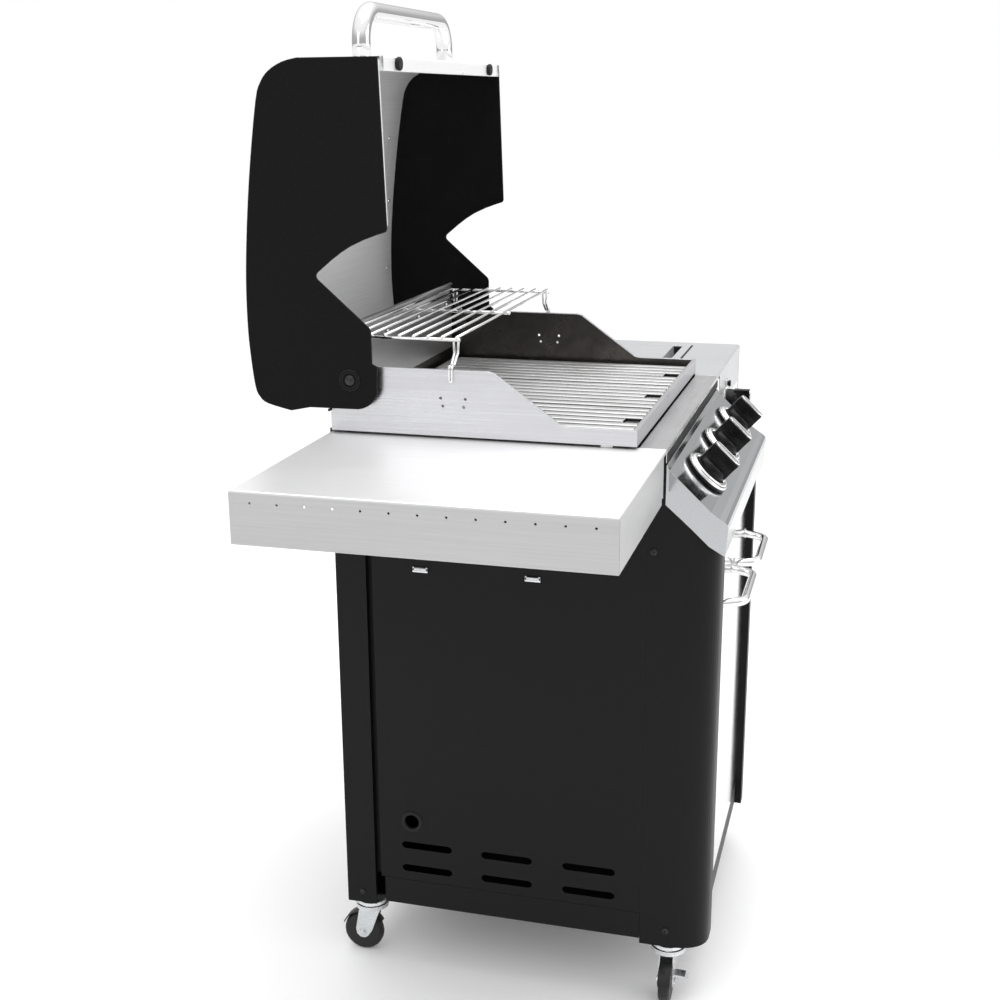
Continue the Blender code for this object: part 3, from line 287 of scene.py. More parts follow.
def heat_stained(name):
    """Cooking grate steel: streaks along the bars, brown heat staining and near-black flanks as painted shade in the
    slots.
    """
    material, g = new_material(name)
    streak = g.noise(1.0, 5.0, 0.7, g.stretched((160.0, 2.2, 60.0)))
    patch = g.noise(11.0, 4.0, 0.65)
    soft = g.edge_bevel_and_highlight(0.0006)[0]
    tone = g.blend(g.spread(streak, 0.0, 1.0, 0.35, 0.65), (0.74, 0.74, 0.74), (0.52, 0.52, 0.52))
    tone = g.blend(g.spread(patch, 0.0, 0.45, 0.52, 0.72), tone, (0.34, 0.32, 0.31))
    # Painted shade: faces that are not turned up, the flanks of the bars in the slots, are made near-black.
    tone = g.blend(g.upward(0.30, 0.85), (0.030, 0.028, 0.027), tone)
    g.set(Base_Color=tone, Metallic=0.80, Roughness=g.spread(streak, 0.30, 0.44),
          Normal=g.bump(streak, 0.0001, 0.3, soft))
    return material


STEEL_X = brushed("stainless_grain_x", (0.72, 0.72, 0.73), (0.60, 0.60, 0.61), 0.32, "X")
STEEL_Y = brushed("stainless_grain_y", (0.70, 0.70, 0.72), (0.60, 0.60, 0.62), 0.34, "Y")
STEEL_BOX = brushed("stainless_fire_box", (0.68, 0.68, 0.70), (0.60, 0.60, 0.62), 0.30, "Y", 0.0012)
# The two shelves are one stainless: the left shelf gets a brighter copy and the right shelf, with its side cover, a
# darker copy, as painted light and painted shade; the left copy also darkens its upright faces as painted shade.
STEEL_SHELF_BRIGHT_COPY = brushed("stainless_bright_copy_left", (0.92, 0.92, 0.92), (0.84, 0.84, 0.85), 0.40, "Y", 0.0009, 0.50, 0.58)
STEEL_SHELF_DARK_COPY = brushed("stainless_dark_copy_right", (0.66, 0.67, 0.68), (0.58, 0.59, 0.60), 0.36, "Y", 0.0009, 0.7)
# The control panel's copy darkens its sloping and upright faces as painted shade.
STEEL_PANEL = brushed("stainless_panel", (0.76, 0.77, 0.79), (0.69, 0.70, 0.72), 0.13, "X", 0.0009, 1.0, 0.62)
STEEL_TRIM = brushed("stainless_trim", (0.76, 0.76, 0.77), (0.68, 0.68, 0.69), 0.24, "X", 0.0009)
STEEL_LIP = brushed("stainless_lip", (0.95, 0.95, 0.95), (0.88, 0.88, 0.88), 0.40, "X", 0.0009, 0.35)
STEEL_LID = brushed("stainless_lid", (0.84, 0.84, 0.84), (0.72, 0.72, 0.73), 0.45, "X", 0.0006, 0.45)
MIRROR_STEEL = polished("polished_door_steel", (0.80, 0.80, 0.81), 0.10)
CHROME = polished("chrome_plate", (0.88, 0.88, 0.88), 0.05)
BLACK_STEEL = powder_coat("black_powder_coat", (0.0042, 0.0042, 0.0045), 0.42, 0.17, 1500.0, 0.00008, 0.0009, 0.03)
LID_CASTING = powder_coat("black_pebbled_casting", (0.0036, 0.0036, 0.0040), 0.44, 0.11, 520.0, 0.00070, 0.0022,
                          0.060)
ENAMEL = cast_metal("black_enamel", (0.135, 0.125, 0.118), (0.070, 0.064, 0.060), 0.30, 500.0, 0.00004)
GRATE_STEEL = heat_stained("grate_stainless")
BURNER_STEEL = cast_metal("burner_steel", (0.50, 0.48, 0.46), (0.34, 0.30, 0.27), 0.42)
GALVANISED = cast_metal("galvanised_steel", (0.60, 0.61, 0.62), (0.46, 0.47, 0.48), 0.38, 90.0)
ZINC = cast_metal("zinc_plate", (0.78, 0.79, 0.80), (0.62, 0.64, 0.65), 0.26, 320.0, 0.00006)
BRASS = cast_metal("brass", (0.78, 0.60, 0.28), (0.62, 0.46, 0.20), 0.28)
KNOB_PLASTIC = moulded("black_knob_plastic", (0.0016, 0.0016, 0.0018), 0.26, 0.20)
RUBBER = moulded("black_rubber", (0.008, 0.008, 0.009), 0.58, 0.25)
WHEEL_PLASTIC = moulded("black_wheel_plastic", (0.008, 0.008, 0.008), 0.40, 0.35, 0.0007, 500.0)
SCREW_BLACK = moulded("blackened_screw", (0.010, 0.010, 0.011), 0.32, 0.5, 0.0004)

FINISH = {
    "black_steel": BLACK_STEEL, "brushed_stainless": STEEL_Y, "polished_stainless": MIRROR_STEEL,
    "chrome": CHROME, "lid_casting": LID_CASTING, "black_enamel": ENAMEL, "grate_stainless": GRATE_STEEL,
    "burner_steel": BURNER_STEEL, "galvanised": GALVANISED, "brass": BRASS, "knob_plastic": KNOB_PLASTIC,
    "zinc": ZINC, "wheel_plastic": WHEEL_PLASTIC,
}
GRAIN_BY_NODE = {"lid_shell": STEEL_LID, "left_shelf": STEEL_SHELF_BRIGHT_COPY, "right_shelf": STEEL_SHELF_DARK_COPY,
                 "front_trim": STEEL_TRIM, "control_panel": STEEL_PANEL, "rear_baffle": STEEL_X,
                 "side_burner": STEEL_X, "side_cover": STEEL_SHELF_DARK_COPY, "firebox_jacket": STEEL_BOX}
for entry in frame["record"]["subparts"]:
    node = NODES[entry["node"]]
    finish = GRAIN_BY_NODE.get(entry["node"], FINISH[entry["material_slot"]])
    for place in node.material_slots:
        place.material = finish


# ---- making pieces ----
def at(x, y, z):
    """A place in the frame, from a y that counts from BACK."""
    return Vector((x, y + BACK, z))


def facing(direction, spin=0.0):
    """Turn that takes +Z to a direction."""
    return Vector(direction).to_track_quat("Z", "Y").to_matrix().to_4x4() @ Matrix.Rotation(spin, 4, "Z")


def set_at(place, direction, spin=0.0):
    """A matrix that stands a form at a place with its +Z in a direction."""
    return Matrix.Translation(place) @ facing(direction, spin)


def finish_mesh(tool, matrix=None):
    """The form put in its place, its faces turned outward."""
    if matrix is not None:
        bmesh.ops.transform(tool, matrix=matrix, verts=tool.verts)
    bmesh.ops.recalc_face_normals(tool, faces=tool.faces)
    return tool


def lathe(profile, steps=40, matrix=None):
    """Closed or axis-ended profile of (radius, height) turned about Z."""
    tool = bmesh.new()
    rings = []
    for radius, height in profile:
        if radius < 1e-6:
            rings.append([tool.verts.new((0, 0, height))])
        else:
            rings.append([tool.verts.new((radius * math.cos(2 * math.pi * k / steps),
                                          radius * math.sin(2 * math.pi * k / steps), height))
                          for k in range(steps)])
    for lower, upper in zip(rings, rings[1:]):
        for k in range(steps):
            after = (k + 1) % steps
            if len(lower) == 1 and len(upper) > 1:
                tool.faces.new((lower[0], upper[after], upper[k]))
            elif len(upper) == 1 and len(lower) > 1:
                tool.faces.new((lower[k], lower[after], upper[0]))
            elif len(lower) > 1 and len(upper) > 1:
                tool.faces.new((lower[k], lower[after], upper[after], upper[k]))
    return finish_mesh(tool, matrix)


def ring(profile, steps=48, matrix=None):
    """A ring of closed section."""
    return lathe(list(profile) + [profile[0]], steps, matrix)


def sweep(path, radius, sides=16):
    """A round bar along a path, narrowed at its ends."""
    points = [Vector(p) for p in path]
    first = (points[1] - points[0]).normalized()
    last = (points[-1] - points[-2]).normalized()
    tool = bmesh.new()
    normal = first.orthogonal().normalized()
    rings = []
    for index, point in enumerate(points):
        if index == 0:
            way = first
        elif index == len(points) - 1:
            way = last
        else:
            way = (points[index + 1] - points[index - 1]).normalized()
        normal = (normal - way * normal.dot(way)).normalized()
        rings.append((point, normal.copy(), way.cross(normal), radius))
    end_shape = ((0.25, 0.55), (0.10, 0.88))
    start_caps = [(points[0] - first * radius * reach, *rings[0][1:3], radius * size) for reach, size in end_shape]
    end_caps = [(points[-1] + last * radius * reach, *rings[-1][1:3], radius * size)
                for reach, size in reversed(end_shape)]
    loops = []
    for point, normal, side, size in start_caps + rings + end_caps:
        loops.append([tool.verts.new(point + normal * (size * math.cos(2 * math.pi * k / sides))
                                     + side * (size * math.sin(2 * math.pi * k / sides)))
                      for k in range(sides)])
    for before, after in zip(loops, loops[1:]):
        for k in range(sides):
            n = (k + 1) % sides
            tool.faces.new((before[k], before[n], after[n], after[k]))
    tool.faces.new(loops[0][::-1])
    tool.faces.new(loops[-1])
    return finish_mesh(tool)


def slab(outline, low, high, matrix=None, bevel=0.0, segments=2):
    """An outline in X and Y, raised from low to high, its edges rounded."""
    tool = bmesh.new()
    bottom = [tool.verts.new((u, v, low)) for u, v in outline]
    top = [tool.verts.new((u, v, high)) for u, v in outline]
    count = len(outline)
    tool.faces.new(bottom[::-1])
    tool.faces.new(top)
    for k in range(count):
        n = (k + 1) % count
        tool.faces.new((bottom[k], bottom[n], top[n], top[k]))
    bmesh.ops.recalc_face_normals(tool, faces=tool.faces)
    if bevel:
        sharp = [e for e in tool.edges if e.calc_face_angle(0.0) > 0.5]
        bmesh.ops.bevel(tool, geom=sharp, offset=bevel, segments=segments, affect="EDGES", profile=0.5,
                        clamp_overlap=True)
    return finish_mesh(tool, matrix)


def block(x_range, y_range, z_range, bevel=0.0):
    """A box whose X range may be given in either order, its edges rounded."""
    (x0, x1), (y0, y1), (z0, z1) = sorted(x_range), y_range, z_range
    return slab([(x0, y0), (x1, y0), (x1, y1), (x0, y1)], z0, z1, None, bevel)


def arc(centre, radius, start, end, steps):
    """Points on an arc between two angles in degrees."""
    return [(centre[0] + radius * math.cos(math.radians(start + (end - start) * k / steps)),
             centre[1] + radius * math.sin(math.radians(start + (end - start) * k / steps)))
            for k in range(steps + 1)]


def joined(*tools):
    """Several forms as one mesh."""
    whole = bmesh.new()
    for tool in tools:
        mesh = bpy.data.meshes.new("piece")
        tool.to_mesh(mesh)
        tool.free()
        whole.from_mesh(mesh)
        bpy.data.meshes.remove(mesh)
    return whole


def piece(name, tool, material, body, smooth=40.0, replaces=()):
    """A finished piece on its body."""
    mesh = bpy.data.meshes.new(name)
    tool.to_mesh(mesh)
    tool.free()
    mesh.materials.append(material)
    if smooth:
        mesh.shade_smooth()
        mesh.set_sharp_from_angle(angle=math.radians(smooth))
    made = bpy.data.objects.new(name, mesh)
    bpy.context.scene.collection.objects.link(made)
    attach(made, body)
    if replaces:
        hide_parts(*replaces)
    return made


def rounded_path(corners, radius, steps=10):
    """A path in space with arcs at its inner corners."""
    path = [Vector(corners[0])]
    for before, corner, after in zip(corners, corners[1:], corners[2:]):
        corner = Vector(corner)
        back = (Vector(before) - corner).normalized()
        ahead = (Vector(after) - corner).normalized()
        half = back.angle(ahead) / 2
        reach = radius / math.tan(half)
        centre = corner + (back + ahead).normalized() * (radius / math.sin(half))
        start = corner + back * reach - centre
        end = corner + ahead * reach - centre
        sweep_angle = start.angle(end)
        for step in range(steps + 1):
            share = step / steps
            path.append(centre + (start * math.sin((1 - share) * sweep_angle)
                                  + end * math.sin(share * sweep_angle)) / math.sin(sweep_angle))
    path.append(Vector(corners[-1]))
    return path


def pan_screw(radius, place, direction, spin=0.3):
    """A pan head with a cross recess."""
    tool = bmesh.new()
    steps = 40
    rings = []
    shape = [(0.0, 0.62), (0.12, 0.62), (0.24, 0.61), (0.36, 0.60), (0.48, 0.58), (0.60, 0.55), (0.74, 0.50),
             (0.88, 0.38), (0.97, 0.20), (1.0, 0.05), (1.0, -0.10)]
    for share, height in shape:
        line = []
        for k in range(steps):
            turn = 2 * math.pi * k / steps
            x = share * math.cos(turn)
            y = share * math.sin(turn)
            sunk = share < 0.55 and (abs(x) < 0.13 or abs(y) < 0.13)
            line.append(tool.verts.new((x * radius, y * radius, (height - (0.34 if sunk else 0.0)) * radius)))
            if share == 0.0:
                break
        rings.append(line)
    for k in range(steps):
        n = (k + 1) % steps
        tool.faces.new((rings[0][0], rings[1][k], rings[1][n]))
        for inner, outer in zip(rings[1:], rings[2:]):
            tool.faces.new((inner[k], outer[k], outer[n], inner[n]))
    return finish_mesh(tool, set_at(place, direction, spin))


def hex_bolt(radius, height, place, direction, spin=0.2):
    """A hexagon head with softened edges."""
    outline = [(radius * math.cos(math.pi / 3 * k), radius * math.sin(math.pi / 3 * k)) for k in range(6)]
    return slab(outline, -0.0002, height, set_at(place, direction, spin), radius * 0.12)


def washer(inner, outer, height, place, direction):
    """A flat ring with softened upper edges."""
    lip = min(0.0004, height * 0.4)
    return ring([(inner, 0.0), (outer, 0.0), (outer, height - lip), (outer - lip, height), (inner + lip, height),
                 (inner, height - lip)], 40, set_at(place, direction))


def rivet(radius, place, direction):
    """A low domed head."""
    profile = [(0, radius * 0.5), (radius * 0.4, radius * 0.46), (radius * 0.75, radius * 0.32),
               (radius, 0.0001), (radius, -0.0002)]
    return lathe(profile, 20, set_at(place, direction))


# ---- lid ----
low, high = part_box("lid_handle")
bar_y = (low.y + high.y) / 2
bar_z = high.z - LID_HANDLE_RADIUS
corners = [(-LID_HANDLE_LEG, bar_y, low.z), (-LID_HANDLE_LEG, bar_y, bar_z), (LID_HANDLE_LEG, bar_y, bar_z),
           (LID_HANDLE_LEG, bar_y, low.z)]
path = rounded_path(corners, LID_HANDLE_BEND, 16)
piece("lid_handle_tube", sweep(path, LID_HANDLE_RADIUS, 40), CHROME, "lid", 60, ("lid_handle",))

for side, word in SIDES:
    out = (side, 0, 0)
    collar = ring([(0.0132, 0.0), (0.0165, 0.0), (0.0168, 0.0010), (0.0160, 0.0022), (0.0139, 0.0026)], 40,
                  Matrix.Translation((side * LID_HANDLE_LEG, bar_y, low.z - 0.0002)))
    piece("handle_foot_" + word, collar, CHROME, "lid")
    pivot = Vector((side * LID_CAP_FACE, *LID_PIVOT))
    seat = ring([(0.0105, -0.0004), (0.0165, -0.0004), (0.0167, 0.0006), (0.0158, 0.0016), (0.0135, 0.0012),
                 (0.0118, 0.0016), (0.0105, 0.0010)], 48, set_at(pivot, out))
    piece("lid_pivot_washer_" + word, seat, LID_CASTING, "lid")
    dome = lathe([(0, 0.0030), (0.0035, 0.0030), (0.0062, 0.0024), (0.0078, 0.0008), (0.0078, -0.0002)], 40,
                 set_at(pivot, out))
    piece("lid_pivot_bolt_" + word, joined(dome, hex_bolt(0.0040, 0.0044, pivot, out)), SCREW_BLACK, "lid")
    seat = at(side * 0.24, LID_FRONT, 1.4575)
    bumper = lathe([(0, 0.0070), (0.0046, 0.0070), (0.0050, 0.0072), (0.0088, 0.0066), (0.0098, 0.0052),
                    (0.0098, 0.0022), (0.0084, 0.0), (0.0, 0.0)], 32, set_at(seat, (0, -1, 0)))
    piece("lid_bumper_" + word, bumper, RUBBER, "lid")
    screw = pan_screw(0.0036, seat + Vector((0, -0.0053, 0)), (0, -1, 0))
    piece("bumper_screw_" + word, screw, SCREW_BLACK, "lid")

# Bright folded edge along the inside of the left cap only, its brightness a painted highlight where that edge
# catches the light, and the rounded lip across the front of the shell.
edge = [(0.1683, 1.4620), (0.1612, 1.2335), (0.1632, 1.2285), (0.1752, 1.2222), (0.2172, 1.2045),
        (0.2150, 1.2090), (0.1790, 1.2300), (0.1715, 1.2400), (0.1765, 1.4620)]
piece("lid_edge_highlight_strip", slab(edge, -0.3160, -0.3096, ALONG_X, 0.0006), STEEL_LIP, "lid")
lip = [(0.1698, 1.4466), (0.1676, 1.4468), (0.1667, 1.4478), (0.1664, 1.4520), (0.1664, 1.4630), (0.1668, 1.4656),
       (0.1680, 1.4670), (0.1698, 1.4672)]
piece("lid_front_lip", slab(lip, -LID_LIP_END, LID_LIP_END, ALONG_X), STEEL_LIP, "lid", 30)
ends = [block((side * 0.2990, side * 0.3092), (0.1655 + BACK, 0.1667 + BACK), (1.4470, 1.4672), 0.0005)
        for side in (LEFT, RIGHT)]
ends.append(pan_screw(0.0030, at(0.090, LID_FRONT, 1.4495), (0, -1, 0)))
piece("lid_lip_brackets", joined(*ends), ZINC, "lid", 30)


def shell_point(z):
    """How far back the inner face of the lid shell's rear wall is at a height between 1.03 and 1.43."""
    stations = [(0.3476, 1.4325), (0.3560, 1.4080), (0.3693, 1.3229), (0.3780, 1.2500), (0.3840, 1.1831),
                (0.3868, 1.1300), (0.3871, 1.0737), (0.3845, 1.0300)]
    for (y0, z0), (y1, z1) in zip(stations, stations[1:]):
        if z1 <= z <= z0:
            return y0 + (y1 - y0) * (z0 - z) / (z0 - z1) - 0.0036


for side, word in SIDES:
    rivets = [rivet(0.0034, at(side * inset, shell_point(z), z), (0, -1, 0))
              for inset, z in ((0.266, 1.340), (0.292, 1.225), (0.292, 1.100))]
    piece("shell_rivets_" + word, joined(*rivets), CHROME, "lid")
    pin = lathe([(0, 0.0086), (0.0017, 0.0086), (0.0022, 0.0080), (0.0022, 0.0), (0, 0.0)], 20,
                set_at(at(side * 0.3100, 0.2607, 0.9567), (side, 0, 0)))
    piece("lid_stop_pin_" + word, pin, SCREW_BLACK, "lid")

# ---- fire box ----
for side, word in SIDES:
    clip = block((-0.0090, 0.0090), (-0.0030, 0.0030), (0.0, 0.0037), 0.0005)
    seat = Matrix.Translation(at(side * 0.2985, -0.163, 0.9192)) @ Matrix.Rotation(math.pi / 2, 4, "Z")
    bmesh.ops.transform(clip, matrix=seat, verts=clip.verts)
    piece("jacket_spacer_" + word, clip, ZINC, "cart", 30)
low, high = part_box("rear_baffle")
screws = [pan_screw(0.0040, Vector((x, low.y + 0.0002, 1.040)), (0, -1, 0)) for x in (-0.24, -0.08, 0.08, 0.24)]
piece("baffle_screws", joined(*screws), ZINC, "cart")


def crowned_grate(node, name):
    """Bars with a raised middle and rounded shoulders on a frame with cross ribs."""
    low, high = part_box(node)
    middle = (low.x + high.x) / 2
    half = (high.x - low.x) / 2
    top = high.z
    front = low.y
    rear = high.y - 0.012
    tools = []
    for number in range(7):
        line = middle + (number - 3) * 0.0267
        left_edge = max(line - 0.00985, middle - half)
        right_edge = min(line + 0.00985, middle + half)
        width = right_edge - left_edge
        section = [(left_edge, top - 0.0060), (left_edge, top - 0.0020), (left_edge + 0.0006, top - 0.0009),
                   (left_edge + 0.0018, top - 0.0003), (left_edge + width * 0.35, top),
                   (left_edge + width * 0.65, top), (right_edge - 0.0018, top - 0.0003),
                   (right_edge - 0.0006, top - 0.0009), (right_edge, top - 0.0020), (right_edge, top - 0.0060)]
        start = front + (0.0305 if number == 3 else 0.0036)
        tools.append(slab(section, -rear, -start, UPRIGHT))
    outer = [(middle - half, front), (middle + half, front), (middle + half, front + 0.0040),
             (middle - half, front + 0.0040)]
    tools.append(slab(outer, top - 0.0060, top - 0.0006, None, 0.0007))
    tools.append(block((middle - 0.0172, middle + 0.0172), (front + 0.0290, front + 0.0312),
                       (top - 0.0060, top - 0.0002), 0.0004))
    tools.append(block((middle - half, middle + half), (rear - 0.004, rear), (top - 0.0060, top - 0.0008), 0.0006))
    tools.append(block((middle - half + 0.012, middle + half - 0.012), (rear - 0.001, high.y),
                       (top - 0.0060, top - 0.0010), 0.0006))
    for y in (-0.090 + BACK, 0.140 + BACK):
        tools.append(block((middle - half + 0.004, middle + half - 0.004), (y - 0.004, y + 0.004),
                           (low.z, top - 0.0050), 0.0006))
    piece(name, joined(*tools), GRATE_STEEL, "cart", 30, (node,))


for word in ("left", "middle", "right"):
    crowned_grate("cooking_grate_" + word, "grate_bars_" + word)
    low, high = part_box("burner_" + word)
    middle = (low.x + high.x) / 2
    # Painted shade: each gas port is a black ring on the tube standing for the dark inside of the hole.
    ports = []
    for row in (-1, 1):
        lean = math.radians(38) * row
        for step in range(44):
            y = low.y + 0.085 + step * 0.0085
            away = Vector((math.sin(lean), 0, math.cos(lean)))
            ports.append(ring([(0.0007, 0.0001), (0.0013, 0.0), (0.0013, 0.0002)], 8,
                              set_at(Vector((middle, y, BURNER_HEIGHT)) + away * BURNER_RADIUS, away)))
    piece("burner_ports_" + word, joined(*ports), SCREW_BLACK, "cart", 0)
    collar = ring([(0.0120, -0.006), (0.0134, -0.005), (0.0134, 0.005), (0.0120, 0.006)], 32,
                  set_at(Vector((middle, low.y + 0.075, BURNER_HEIGHT)), (0, 1, 0)))
    piece("burner_collar_" + word, collar, BURNER_STEEL, "cart")

# ---- warming rack in smooth wire ----
wires = []
for step in range(9):
    y = 0.0687 + 0.0225 * step
    wires.append(sweep([at(x, y, RACK_HEIGHT) for x in (-RACK_HALF_LENGTH, 0.0, RACK_HALF_LENGTH)], 0.0021, 14))
for x in (-0.2800, 0.0050, 0.2800):
    wires.append(sweep([at(x, y, RACK_HEIGHT - 0.0040) for y in (0.0640, 0.15, 0.2530)], 0.0026, 14))
foot_x, foot_z = RACK_FOOT
for side in (LEFT, RIGHT):
    for y in (0.0712, 0.2440):
        for shift in (-0.0026, 0.0026):
            hook = [at(side * 0.2770, y + shift * 1.5, 1.0660), at(side * 0.2770, y + shift, 1.0440),
                    at(side * 0.2950, y + shift * 0.8, 1.0290), at(side * foot_x, y + shift * 0.8, 1.0290),
                    at(side * foot_x, y + shift * 0.8, foot_z)]
            wires.append(sweep(rounded_path(hook, 0.0045, 6), 0.0019, 12))
        foot = [at(side * foot_x, y + shift, foot_z + rise)
                for shift, rise in ((-0.0021, 0.0008), (0.0, 0.0), (0.0021, 0.0008))]
        wires.append(sweep(foot, 0.0019, 10))
piece("warming_rack_wires", joined(*wires), CHROME, "cart", 50, ("warming_rack",))

# ---- shelves ----
for side, word in SIDES:
    low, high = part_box(word + "_shelf")
    x = side * (SHELF_END - 0.0006)
    seam = block((x - 0.0004, x + 0.0004), (low.y - 0.0002, low.y + 0.0006), (low.z + 0.002, high.z - 0.004), 0.0001)
    piece("shelf_seam_" + word, seam, SCREW_BLACK, "cart", 0)
    brackets = []
    for y in (low.y + 0.030, high.y - 0.050):
        brackets.append(block((side * 0.2945, side * 0.3600), (y, y + 0.020), (0.8700, 0.8715), 0.0004))
        brackets.append(block((side * 0.2945, side * 0.2960), (y, y + 0.020), (0.8500, 0.8715), 0.0004))
    piece("shelf_brackets_" + word, joined(*brackets), GALVANISED, "cart", 30)

# ---- cabinet ----
for side, word in SIDES:
    face = side * CABINET_SIDE
    out = (side, 0, 0)
    seats = [at(face, -0.2346, 0.7628), at(face, -0.2670, 0.1333), at(face, 0.2447, 0.1256)]
    screws = [pan_screw(radius, place, out, spin) for radius, place, spin in
              zip((0.0052, 0.0052, 0.0046, 0.0040), (*seats, at(face, 0.2447, 0.840)), (0.3, 0.3, 0.9, 0.1))]
    piece("side_screws_" + word, joined(*screws), SCREW_BLACK, "cart")
    rims = [washer(0.0050, 0.0066, 0.0005, place, out) for place in seats]
    piece("screw_seats_" + word, joined(*rims), BLACK_STEEL, "cart")
    clips = []
    for low_y in (0.1173, -0.0628):
        clips.append(block((side * 0.2790, side * 0.2955), (low_y + BACK, low_y + 0.0245 + BACK), (0.7036, 0.7048),
                           0.0004))
        for end in (low_y, low_y + 0.0215):
            clips.append(block((side * 0.2930, side * 0.2955), (end + BACK, end + 0.0030 + BACK),
                               (0.7040, 0.7100), 0.0005))
        clips.append(block((side * 0.2942, side * 0.2955), (low_y + BACK, low_y + 0.0245 + BACK),
                           (0.7012, 0.7082), 0.0005))
    piece("panel_clips_" + word, joined(*clips), ZINC, "cart", 30)
grommet = ring([(0.0122, -0.0030), (0.0122, 0.0012), (0.0138, 0.0026), (0.0168, 0.0026), (0.0188, 0.0008),
                (0.0190, 0.0), (0.0136, 0.0), (0.0136, -0.0030)], 48,
               set_at(at(-CABINET_SIDE, 0.1539, 0.2678), (-1, 0, 0)))
piece("hose_grommet", grommet, RUBBER, "cart")

low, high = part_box("back_panel")
screws = [pan_screw(0.0045, Vector((x, high.y, z)), (0, 1, 0))
          for x in (-0.236, 0.236) for z in (0.18, 0.43, 0.68)]
piece("back_screws", joined(*screws), SCREW_BLACK, "cart")

# ---- control panel ----
strip = block((-0.2860, 0.2860), (-0.2468 + BACK, -0.2436 + BACK), (0.8900, 0.9060), 0.0004)
piece("panel_gap_strip", strip, BLACK_STEEL, "cart", 30)
gasket = block((-0.2912, 0.2912), (-0.2508 + BACK, -0.2500 + BACK), (0.8992, 0.9118), 0.0002)
piece("trim_gasket", gasket, RUBBER, "cart", 0)


def panel_frame(x, lift=0.0):
    """The control panel's own axes at a knob: X to the right, Y up its slope, Z out of its face."""
    normal = Vector((0, -math.sin(PANEL_TILT), math.cos(PANEL_TILT)))
    seat = at(x, *PANEL_MIDDLE) + normal * lift
    return Matrix.Translation(seat) @ Matrix.Rotation(PANEL_TILT, 4, "X")


def knob(label, matrix, reach, body, node, grip_half=0.0250, half=0.0098):
    """A knob: round skirt, tall waisted grip, bright insert along the grip with a dark index slot."""
    skirt = lathe([(0, 0.0140), (reach * 0.70, 0.0140), (reach * 0.84, 0.0120), (reach * 0.93, 0.0080),
                   (reach * 0.97, 0.0040), (reach * 0.97, -0.0078), (reach * 0.90, -0.0080), (reach * 0.90, 0.0008),
                   (0, 0.0008)], 56, matrix.copy())
    top = KNOB_HEIGHT
    flank = [(half + 0.0030, 0.0060), (half + 0.0008, 0.0110), (half - 0.0012, 0.0170), (half - 0.0016, 0.0235),
             (half - 0.0008, 0.0290), (half, top - 0.0032), (half - 0.0006, top - 0.0020)]
    section = flank + [(-u, v) for u, v in flank[::-1]]
    grip = slab(section, -grip_half, grip_half, matrix @ UPRIGHT, 0.0009)
    end = half - 0.0012
    plan = [(u, v) for u, v in arc((0, grip_half - end - 0.0004), end, 0, 180, 12)]
    plan += [(u, v) for u, v in arc((0, end + 0.0004 - grip_half), end, 180, 360, 12)]
    insert = slab(plan, top - 0.0024, top + 0.0008, matrix.copy(), 0.0008)
    index = slab([(-0.0013, -0.44 * grip_half), (0.0013, -0.44 * grip_half), (0.0013, 0.05 * grip_half),
                  (-0.0013, 0.05 * grip_half)], top + 0.0004, top + 0.00095, matrix.copy(), 0.0001)
    piece("knob_grip_" + label, joined(skirt, grip), KNOB_PLASTIC, body, 35, (node,))
    piece("knob_insert_" + label, insert, CHROME, body, 35)
    piece("knob_index_" + label, index, SCREW_BLACK, body, 0)


for word, x in KNOB_PLACES.items():
    knob(word, panel_frame(x, KNOB_LIFT), 0.0262, "knob_" + word, "control_knob_" + word)
    base = [(0.0276, 0.0001), (0.0380, 0.0001), (0.0386, 0.0006), (0.0386, 0.0040), (0.0380, 0.0048),
            (0.0276, 0.0048)]
    piece("bezel_base_" + word, ring(base, 64, panel_frame(x)), KNOB_PLASTIC, "cart", 50)
    rim = [(0.0276, 0.0046), (0.0276, 0.0100), (0.0284, 0.0117), (0.0300, 0.0125), (0.0320, 0.0124),
           (0.0336, 0.0116), (0.0348, 0.0104), (0.0354, 0.0093), (0.0359, 0.0090), (0.0367, 0.0088),
           (0.0375, 0.0080), (0.0380, 0.0068), (0.0382, 0.0056), (0.0380, 0.0046)]
    piece("bezel_ring_" + word, ring(rim, 72, panel_frame(x)), CHROME, "cart", 60, ("knob_bezel_" + word,))
    # Painted shade: a black ring down in the groove of the bezel.
    groove = [(0.0352, 0.0088), (0.0361, 0.0086), (0.0361, 0.0092), (0.0353, 0.0098)]
    piece("bezel_groove_" + word, ring(groove, 72, panel_frame(x)), SCREW_BLACK, "cart")


def shelf_front_frame(place, forward):
    """Axes on the front of the right shelf at an (x, z): X to the right, Y up, Z out of its face."""
    return Matrix.Translation(at(place[0], SHELF_FRONT - forward, place[1])) @ Matrix.Rotation(math.pi / 2, 4, "X")


knob("side", shelf_front_frame(SIDE_KNOB, KNOB_LIFT), 0.0225, "knob_side", "control_knob_side", 0.0220, 0.0092)
plate = ring([(0.0226, 0.0001), (0.0262, 0.0001), (0.0268, 0.0008), (0.0262, 0.0018), (0.0234, 0.0020),
              (0.0226, 0.0012)], 56, shelf_front_frame(SIDE_KNOB, 0.0002))
piece("side_knob_plate", plate, CHROME, "cart")
collar = ring([(0.0068, 0.0), (0.0092, 0.0), (0.0094, 0.0010), (0.0084, 0.0018), (0.0068, 0.0018)], 36,
              set_at(at(IGNITER[0], SHELF_FRONT - 0.0001, IGNITER[1]), (0, -1, 0)))
piece("igniter_collar", collar, CHROME, "cart")

